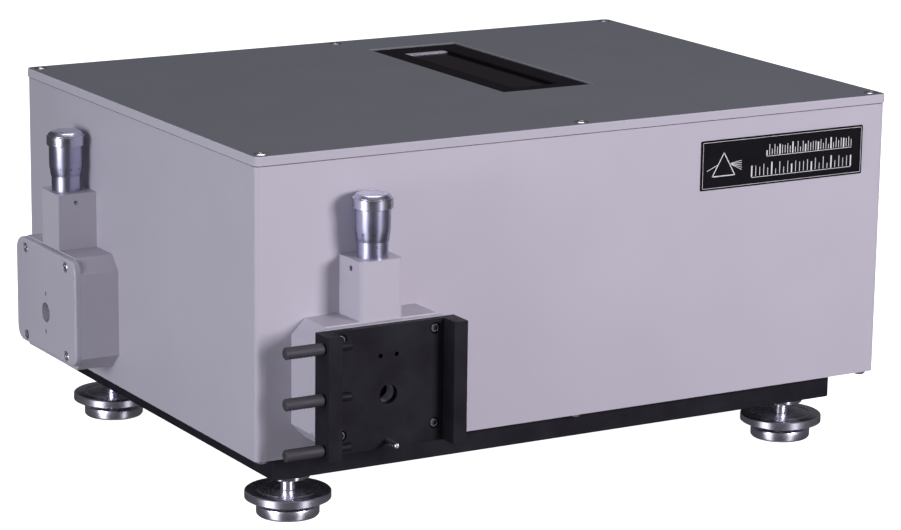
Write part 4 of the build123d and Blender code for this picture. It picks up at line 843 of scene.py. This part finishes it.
# ---- slit units ----
class MONO_OT_slit_units(Maker):
    """Finishes both slit units: housings, covers, towers, jaws and micrometer heads"""
    bl_idname = "mono.slit_units"
    bl_label = "Slit units"

    # A micrometer's heights above the optical axis: the thimble's lower end, the top of its
    # taper, the knurled ring, and the cap's shoulder, crown and inner face.
    THIMBLE_LOW, THIMBLE_TAPER, RING_LOW, RING_HIGH = 78.4, 85.1, 95.7, 101.2
    CAP, CROWN, CAP_INSIDE, BORE_TOP = 101.3, 103.4, 100.5, 97.2
    # Its radii, and the sides of its thimble and ring.
    SLEEVE, THIMBLE, TAPER, RING, CAP_RADIUS, BORE, PLAY = 8.25, 9.5, 8.65, 10.7, 10.0, 3.28, 0.1
    THIMBLE_STEPS, RING_STEPS, RING_ROWS = 144, 120, 8
    # The way its graduations face, in degrees from the frame's X.
    FACING = {"entrance": 190.0, "exit": -80.0}
    # The sleeve's graduations: how many, the first one's height, their spacing and lengths, and
    # the numerals with their heights and their distance from the line.
    STEPS, FIRST_STEP, STEP, LONG_STEP, SHORT_STEP = 20, 0.9, 0.5, 2.4, 1.6
    STEP_NUMERALS, NUMERAL_ASIDE = (("5", 1.4), ("0", 6.4)), 3.4
    # The thimble's graduations, and its numerals' height above its lower end.
    DIVISIONS, LONG_DIVISION, SHORT_DIVISION, NUMERAL_RISE = 50, 2.6, 1.5, 4.3
    NUMERAL_SIZE, NUMERAL_THICK = 1.9, 0.05

    def execute(self, context):
        fine = sizes().fine_edge
        oxide = material("black_oxide", turned_metal, (0.05, 0.05, 0.055), roughness=(0.30, 0.42))
        for unit in UNITS:
            softened(f"{unit}_housing", wall_paint(), sizes().cast_edge)
            softened(f"{unit}_tower", wall_paint(), sizes().cast_edge)
            softened(f"{unit}_cover", wall_paint(), sizes().milled_edge, 2, CRISP)
            for side in ("left", "right"):
                softened(f"{unit}_jaw_{side}", oxide, fine * 0.3, 1)
            softened(f"{unit}_spindle", steel_about(f"{unit}_spindle"), fine, 2)
            self.micrometer(unit)
        softened("jaw_rails", aluminium(), fine * 2, 2)
        heads = screw_steel("slit_screws", (0.66, 0.66, 0.70), (0.16, 0.16, 0.17))
        softened("slit_screws", heads, fine, 2, CRISP)
        return {"FINISHED"}

    def micrometer(self, unit):
        """A unit's micrometer head: sleeve, thimble and ring, all about one axis."""
        thimble = f"{unit}_thimble"
        matrix = upright_axes(thimble, optical_axis())
        chrome = material(f"satin_chrome_{unit}", turned_metal, tuple(colours().chrome),
                          middle(thimble), roughness=(0.28, 0.34))
        # The ring and cap take a lighter copy of the chrome: painted sheen for the knurl's
        # scattered light; its slightly lower roughness is real.
        bright = material(f"bright_chrome_{unit}", turned_metal, tuple(colours().bright_chrome),
                          middle(thimble), roughness=(0.25, 0.31))
        facing = radians(self.FACING[unit])
        tower_top = (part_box(f"{unit}_tower")[1].z - optical_axis()) / MM
        self.sleeve(f"{unit}_sleeve", matrix, chrome)
        self.sleeve_marks(f"{unit}_sleeve", matrix, facing, tower_top)
        self.thimble(thimble, matrix, chrome)
        self.thimble_marks(thimble, matrix, facing)
        self.ring(thimble, matrix, bright)

    def sleeve(self, node, matrix, chrome):
        """The plain tube that stands in the tower."""
        bottom, top = [(corner.z - optical_axis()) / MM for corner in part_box(node)]
        radius, bore = self.SLEEVE, self.BORE
        outline = [(bore, bottom), (radius, bottom), (radius, top - 0.3), (radius - 0.3, top),
                   (bore, top), (bore, bottom)]
        turned_piece(node, outline, matrix, chrome)

    def sleeve_marks(self, node, matrix, facing, start):
        """A line up the sleeve with graduations on both its sides, from the tower's top."""
        marks, width = bmesh.new(), sizes().mark_width / MM
        line_top = self.THIMBLE_LOW + 2
        self.around(marks, facing, self.SLEEVE, (start + line_top) / 2, width,
                    line_top - start - 0.4)
        for step in range(self.STEPS):
            side = 1 if step % 2 else -1
            reach = self.SHORT_STEP if step % 10 else self.LONG_STEP
            self.around(marks, facing + side * reach / 2 / self.SLEEVE, self.SLEEVE,
                        start + self.FIRST_STEP + self.STEP * step, reach, width)
        for number, height in self.STEP_NUMERALS:
            self.numeral(marks, number, facing - self.NUMERAL_ASIDE / self.SLEEVE, self.SLEEVE,
                         start + height, 0.0)
        added_piece(f"{node}_marks", node, marks, matrix, black_ink())

    def thimble(self, node, matrix, chrome):
        """The turning barrel, tapered at its lower end."""
        bore, low, ring = self.SLEEVE + self.PLAY, self.THIMBLE_LOW, self.RING_LOW
        radius, taper = self.THIMBLE, self.TAPER
        outline = [(bore, low), (taper - 0.05, low), (taper, low + 0.08),
                   (radius, self.THIMBLE_TAPER), (radius, ring - 0.25),
                   (radius - 0.12, ring - 0.12), (radius - 0.12, ring), (bore, ring), (bore, low)]
        turned_piece(node, outline, matrix, chrome, self.THIMBLE_STEPS)

    def thimble_marks(self, node, matrix, facing):
        """Divisions round the taper, with a numeral at every fifth."""
        marks, width = bmesh.new(), sizes().mark_width / MM
        slope = (self.THIMBLE - self.TAPER) / (self.THIMBLE_TAPER - self.THIMBLE_LOW)
        for division in range(self.DIVISIONS):
            angle = facing + 2 * pi * division / self.DIVISIONS
            tall = self.SHORT_DIVISION if division % 5 else self.LONG_DIVISION
            rise = 0.2 + tall / 2
            self.around(marks, angle, self.TAPER + slope * rise, self.THIMBLE_LOW + rise, width,
                        tall, slope)
            if division % 5 == 0:
                rise = self.NUMERAL_RISE
                self.numeral(marks, str(division), angle, self.TAPER + slope * rise,
                             self.THIMBLE_LOW + rise, slope)
        added_piece(f"{node}_marks", node, marks, matrix, black_ink())

    def ring(self, node, matrix, bright):
        """The fine-knurled ring and the crowned cap over it."""
        bore, low, high, cap = self.SLEEVE + self.PLAY, self.RING_LOW, self.RING_HIGH, self.CAP
        band = rows_between(low + 0.3, high - 0.3, self.RING_ROWS)
        outline = [(bore, low), (self.RING - 0.25, low)]
        outline += [(self.RING, z) for z in band]
        outline += [(self.RING - 0.3, high), (self.CAP_RADIUS, cap), (self.CAP_RADIUS, cap + 0.3),
                    (9.8, cap + 0.5), (8.9, cap + 1.5), (8.3, cap + 1.9), (7.4, self.CROWN),
                    (0, self.CROWN), (0, self.CAP_INSIDE), (self.BORE, self.CAP_INSIDE),
                    (self.BORE, self.BORE_TOP), (bore, self.BORE_TOP), (bore, low)]
        knurl = diamonds(band, sizes().ring_knurl_depth / MM, self.RING)
        added_piece(f"{node}_ring", node, lathe(outline, self.RING_STEPS, knurl), matrix, bright)

    @staticmethod
    def on_side(angle, radius, height, slope):
        """A matrix on a turned side: X round it, Y up along it and Z outwards."""
        lean = Matrix.Rotation(atan2(slope, 1.0), 4, "Y")
        face = Matrix(((0, 0, 1, 0), (1, 0, 0, 0), (0, 1, 0, 0), (0, 0, 0, 1)))
        return (Matrix.Rotation(angle, 4, "Z") @ Matrix.Translation((radius, 0, height))
                @ lean @ face)

    def around(self, marks, angle, radius, height, width, tall, slope=0.0):
        """Adds one graduation to a turned side, bent round it when it is long."""
        pieces = max(1, round(width / MARK_PIECE))
        for piece in range(pieces):
            offset = (piece + 0.5) / pieces - 0.5
            spot = self.on_side(angle + offset * width / radius, radius + MARK_PROUD, height, slope)
            bar(marks, spot, width / pieces + MARK_OVERLAP, tall, MARK_THICK)

    def numeral(self, marks, text, angle, radius, height, slope):
        """Adds a numeral to a turned side."""
        spot = self.on_side(angle, radius + MARK_PROUD, height, slope)
        lettered(marks, text, self.NUMERAL_SIZE, spot, self.NUMERAL_THICK)


# ---- accessory holder ----
class MONO_OT_accessory_holder(Maker):
    """Finishes the black holder on the exit slit with its thumbscrews, tips and pin"""
    bl_idname = "mono.accessory_holder"
    bl_label = "Accessory holder"

    # A thumbscrew's radius and length, its shank's radius, the knurl's rows and sides, and the
    # shank's thread.
    RADIUS, LENGTH, SHANK, ROWS, SIDES = 3.3, 22.0, 1.5, 20, 20
    THREAD_STEPS, THREAD_PITCH, THREAD_DEPTH = 40, 0.5, 0.2

    def execute(self, context):
        fine = sizes().fine_edge
        softened("accessory_holder", anodised(), sizes().milled_edge)
        nylon = material("black_nylon", moulded, (0.012, 0.012, 0.014), shine=0.12)
        for clamp in CLAMPS:
            self.thumbscrew(f"thumbscrew_{clamp}")
            softened(f"clamp_tip_{clamp}", nylon, fine * 2, 2)
        softened("locating_pin", steel_about("locating_pin", Y_AXIS), fine, 2)
        return {"FINISHED"}

    def thumbscrew(self, node):
        """A knurled head with a dished end, on a threaded shank."""
        low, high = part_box(node)
        centre = middle(node)
        matrix = axes((low.x, centre.y, centre.z), (0, 1, 0), (0, 0, 1), (1, 0, 0))
        radius, body, shank, end = self.RADIUS, self.LENGTH, self.SHANK, (high.x - low.x) / MM
        band = rows_between(0.9, body - 0.9, self.ROWS)
        outline = [(0, 0.35), (1.2, 0.35), (1.4, 0), (radius - 0.7, 0), (radius - 0.15, 0.4)]
        outline += [(radius, z) for z in band]
        outline += [(radius - 0.15, body - 0.4), (radius - 0.7, body), (shank, body)]
        outline += [(shank, z) for z in rows_between(body + 0.3, end - 0.3, self.THREAD_STEPS)]
        outline += [(shank - 0.25, end), (0, end)]
        press = diamonds(band, sizes().knurl_depth / MM, radius)
        cut = thread(body + 0.2, end - 0.2, self.THREAD_PITCH, self.THREAD_DEPTH, shank)

        def relief(*at):
            return press(*at) + cut(*at)

        oxide = material("thumbscrew_black", moulded, (0.050, 0.047, 0.055), 0.58, shine=0.35)
        turned_piece(node, outline, matrix, oxide, self.SIDES, relief)


# ---- drive ----
class MONO_OT_drive(Maker):
    """Finishes the sine drive: deck, bearings, rods, motor, lead screw, carriage and scale"""
    bl_idname = "mono.drive"
    bl_label = "Sine drive"

    # The lead screw's radii, its places along the screw, and its steps along and round it.
    JOURNAL, SCREW, COUPLING = 3.0, 5.0, 9.0
    SCREW_START, SCREW_END, COUPLING_START = 11.5, 122.5, 133.5
    ALONG_STEPS, ROUND_STEPS = 440, 32
    # The scale's lines: how many, the first one's place, their distance from the edge, width and
    # lengths at every tenth, every fifth and the others, and the numerals' size and place.
    LINES, FIRST_LINE, LINE_EDGE, LINE_WIDTH = 91, 26.0, 0.6, 0.18
    TENTH, FIFTH, OTHER = 4.4, 3.2, 2.2
    NUMERAL_SIZE, NUMERAL_PLACE, LINE_PROUD = 3.0, 3.0, 0.01

    def execute(self, context):
        fine, milled = sizes().fine_edge, sizes().milled_edge
        softened("drive_deck", anodised(), milled)
        softened("deck_posts", aluminium(), fine * 2, 2)
        softened("screw_bearings", aluminium(), milled)
        softened("guide_rods", steel_about("guide_rods", Y_AXIS), fine * 2, 2)
        softened("stepper_motor", material("motor_black", moulded, (0.03, 0.03, 0.032), 0.4),
                 milled)
        softened("carriage", material("carriage_brass", milled_aluminium, (0.66, 0.48, 0.22)),
                 milled)
        self.lead_screw("lead_screw")
        softened("wavelength_scale", material("scale_enamel", ink, (0.66, 0.67, 0.66)), fine, 1)
        self.scale_marks("wavelength_scale")
        return {"FINISHED"}

    def lead_screw(self, node):
        """The threaded screw between its journals, with the motor's coupling."""
        low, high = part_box(node)
        centre = middle(node)
        matrix = axes((centre.x, low.y, centre.z), (0, 0, 1), (1, 0, 0), (0, 1, 0))
        journal, screw, coupling = self.JOURNAL, self.SCREW, self.COUPLING
        start, stop, joint = self.SCREW_START, self.SCREW_END, self.COUPLING_START
        end = (high.y - low.y) / MM
        outline = [(0, 0), (journal - 0.4, 0), (journal, 0.4), (journal, start - 0.4),
                   (screw - 0.6, start)]
        outline += [(screw, z) for z in rows_between(start + 0.6, stop - 0.6, self.ALONG_STEPS)]
        outline += [(screw - 0.6, stop), (journal, stop), (journal, joint),
                    (coupling - 0.5, joint), (coupling, joint + 0.5), (coupling, end - 0.5),
                    (coupling - 0.5, end), (0, end)]
        cut = thread(start + 0.5, stop - 0.5, sizes().lead / MM, sizes().thread_depth / MM, screw)
        turned_piece(node, outline, matrix, steel_about(node, Y_AXIS), self.ROUND_STEPS, cut)

    def scale_marks(self, node):
        """A line for each millimetre, and a numeral at every tenth."""
        low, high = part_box(node)
        matrix = axes((low.x, low.y, high.z), (1, 0, 0), (0, 1, 0), (0, 0, 1))
        marks, width = bmesh.new(), (high.x - low.x) / MM
        for line in range(self.LINES):
            place_along = self.FIRST_LINE + line
            tall = self.OTHER if line % 5 else self.FIFTH if line % 10 else self.TENTH
            bar(marks, Matrix.Translation((width - self.LINE_EDGE - tall / 2, place_along,
                                           self.LINE_PROUD)), tall, self.LINE_WIDTH, MARK_THICK)
            if line % 10 == 0:
                spot = Matrix.Translation((self.NUMERAL_PLACE, place_along, self.LINE_PROUD))
                lettered(marks, str(line // 10), self.NUMERAL_SIZE,
                         spot @ Matrix.Rotation(radians(90), 4, "Z"), MARK_THICK)
        added_piece(f"{node}_marks", node, marks, matrix, black_ink())


# ---- optics ----
class MONO_OT_optics(Maker):
    """Finishes the mirrors, their mounts and the grating on its turntable"""
    bl_idname = "mono.optics"
    bl_label = "Optics"

    def execute(self, context):
        fine = sizes().fine_edge
        mirror = material("mirror_coat", mirror_coat, (0.86, 0.87, 0.89))
        ruled = material("ruled_grating", mirror_coat, (0.70, 0.74, 0.82), ruled=True)
        softened("concave_mirrors", mirror, fine * 2, 2)
        softened("fold_mirror", mirror, fine * 2, 2)
        softened("grating", ruled, fine * 2, 2)
        softened("mirror_mounts", anodised(), sizes().milled_edge)
        softened("grating_table", anodised(), fine * 2, 2)
        softened("grating_bearings", aluminium(), fine * 2, 2)
        return {"FINISHED"}


class MONO_OT_rear_connectors(Maker):
    """Finishes the power inlet and the data socket"""
    bl_idname = "mono.rear_connectors"
    bl_label = "Rear connectors"

    def execute(self, context):
        black = material("connector_black", moulded, (0.025, 0.025, 0.028), 0.45)
        softened("rear_connectors", black, sizes().milled_edge, 2)
        return {"FINISHED"}


# ---- stage ----
class MONO_OT_stage(Maker):
    """Lays the pale floor, sets the soft lamps and places the camera"""
    bl_idname = "mono.stage"
    bl_label = "Stage"

    def execute(self, context):
        scene = context.scene
        stage = scene.monochromator_stage
        centre = (CASE_LOW + CASE_HIGH) / 2
        self.floor(stage.floor_glow)
        self.surround(centre)
        for name, offset, size, tint in LAMPS:
            self.lamp(f"{name}_lamp", centre, Vector(offset), getattr(stage, f"{name}_power"),
                      size, tint)
        world = bpy.data.worlds.new("studio")
        world.use_nodes = True
        background = world.node_tree.nodes["Background"]
        background.inputs["Color"].default_value = AMBIENT
        background.inputs["Strength"].default_value = AMBIENT_STRENGTH
        scene.world = world
        scene.view_settings.view_transform = "Standard"
        self.camera(scene, stage.focal_length)
        return {"FINISHED"}

    @staticmethod
    def sheet(name, shape, finish):
        """Puts a shape into the scene for the stage, unseen by diffuse light."""
        mesh = bpy.data.meshes.new(name)
        shape.to_mesh(mesh)
        shape.free()
        mesh.materials.append(finish)
        sheet = bpy.data.objects.new(name, mesh)
        bpy.context.scene.collection.objects.link(sheet)
        sheet.visible_diffuse = False
        return sheet

    def floor(self, glow):
        """A pale paper floor that glows a little, so that it stays even."""
        shape = bmesh.new()
        bmesh.ops.create_grid(shape, x_segments=4, y_segments=4, size=FLOOR_SIZE)
        bmesh.ops.translate(shape, verts=shape.verts, vec=(0, 0, CAD_BOX[0][2]))
        paper = Finish("floor_paper", (0.85, 0.85, 0.86), 0.9,
                       **{"Emission Color": (1.0, 1.0, 1.0, 1.0), "Emission Strength": glow})
        paper.vary_colour(paper.noise(per_metre=3.0, detail=3.0), spread=0.01)
        self.sheet("floor", shape, paper.material).visible_glossy = False

    def surround(self, centre):
        """A dim screen all round, with upright strips of light in front of it."""
        screen = bmesh.new()
        bmesh.ops.create_cone(screen, segments=SCREEN_SIDES, radius1=SCREEN_RADIUS,
                              radius2=SCREEN_RADIUS, depth=2 * STRIP_HEIGHT)
        screen.transform(Matrix.Translation(centre))
        self.card("screen", screen, SCREEN_GLOW)
        for name, bearing, width, glow in STRIPS:
            strip = bmesh.new()
            bmesh.ops.create_grid(strip, x_segments=1, y_segments=1, size=0.5)
            span = 2 * STRIP_DISTANCE * tan(radians(width / 2))
            strip.transform(Matrix.Translation(centre) @ Matrix.Rotation(radians(bearing), 4, "Z")
                            @ Matrix.Translation((0, -STRIP_DISTANCE, 0))
                            @ Matrix.Rotation(radians(90), 4, "X")
                            @ Matrix.Diagonal((span, STRIP_HEIGHT, 1.0, 1.0)))
            self.card(name, strip, glow)

    def card(self, name, shape, glow):
        """A glowing card that is out of sight except in reflections."""
        silk = Finish(name, (0.0, 0.0, 0.0), 1.0,
                      **{"Emission Color": CARD_COLOUR, "Emission Strength": glow})
        card = self.sheet(name, shape, silk.material)
        card.visible_camera = False
        card.visible_shadow = False
        card.visible_transmission = False

    @staticmethod
    def lamp(name, centre, offset, watts, size, tint):
        """A soft square lamp that looks at the instrument's centre."""
        light = bpy.data.lights.new(name, "AREA")
        light.energy = watts
        light.size = size
        light.color = tint
        lamp = bpy.data.objects.new(name, light)
        lamp.location = centre + offset
        lamp.rotation_euler = (-offset).to_track_quat("-Z", "Y").to_euler()
        bpy.context.scene.collection.objects.link(lamp)

    @staticmethod
    def camera(scene, focal_length):
        """The camera that looks at the front and the left side from a little above."""
        data = bpy.data.cameras.new("camera")
        data.lens = focal_length
        data.sensor_width = 36.0
        data.shift_y = CAMERA_SHIFT
        data.clip_end = 60.0
        camera = bpy.data.objects.new("camera", data)
        turn = (Matrix.Rotation(radians(AZIMUTH), 4, "Z")
                @ Matrix.Rotation(pi / 2 - radians(ELEVATION), 4, "X")
                @ Matrix.Rotation(radians(ROLL), 4, "Z"))
        camera.matrix_world = Matrix.Translation(place(*CAMERA_PLACE)) @ turn
        scene.collection.objects.link(camera)
        scene.camera = camera


OPERATORS = (MONO_OT_cabinet, MONO_OT_window, MONO_OT_nameplate, MONO_OT_base, MONO_OT_feet,
             MONO_OT_slit_units, MONO_OT_accessory_holder, MONO_OT_drive, MONO_OT_optics,
             MONO_OT_rear_connectors, MONO_OT_stage)


class MONO_PT_panel(bpy.types.Panel):
    """Lists the instrument's pieces in the sidebar"""
    bl_idname = "MONO_PT_panel"
    bl_label = "Monochromator"
    bl_space_type = "VIEW_3D"
    bl_region_type = "UI"
    bl_category = "Monochromator"

    def draw(self, context):
        for settings in (context.scene.monochromator_sizes, context.scene.monochromator_colours,
                         context.scene.monochromator_stage):
            box = self.layout.box()
            for name in settings.__annotations__:
                box.prop(settings, name)
        for operator in OPERATORS:
            self.layout.operator(operator.bl_idname)


SETTINGS = {
    "monochromator_sizes": MonochromatorSizes,
    "monochromator_colours": MonochromatorColours,
    "monochromator_stage": MonochromatorStage,
}


def register():
    for kind in (*SETTINGS.values(), *OPERATORS, MONO_PT_panel):
        bpy.utils.register_class(kind)
    for name, kind in SETTINGS.items():
        setattr(bpy.types.Scene, name, PointerProperty(type=kind))


def unregister():
    for name in SETTINGS:
        delattr(bpy.types.Scene, name)
    for kind in reversed((*SETTINGS.values(), *OPERATORS, MONO_PT_panel)):
        bpy.utils.unregister_class(kind)


def main():
    """Registers the add-on and builds every piece."""
    register()
    for operator in OPERATORS:
        group, name = operator.bl_idname.split(".")
        getattr(getattr(bpy.ops, group), name)()


if __name__ == "__main__":
    main()
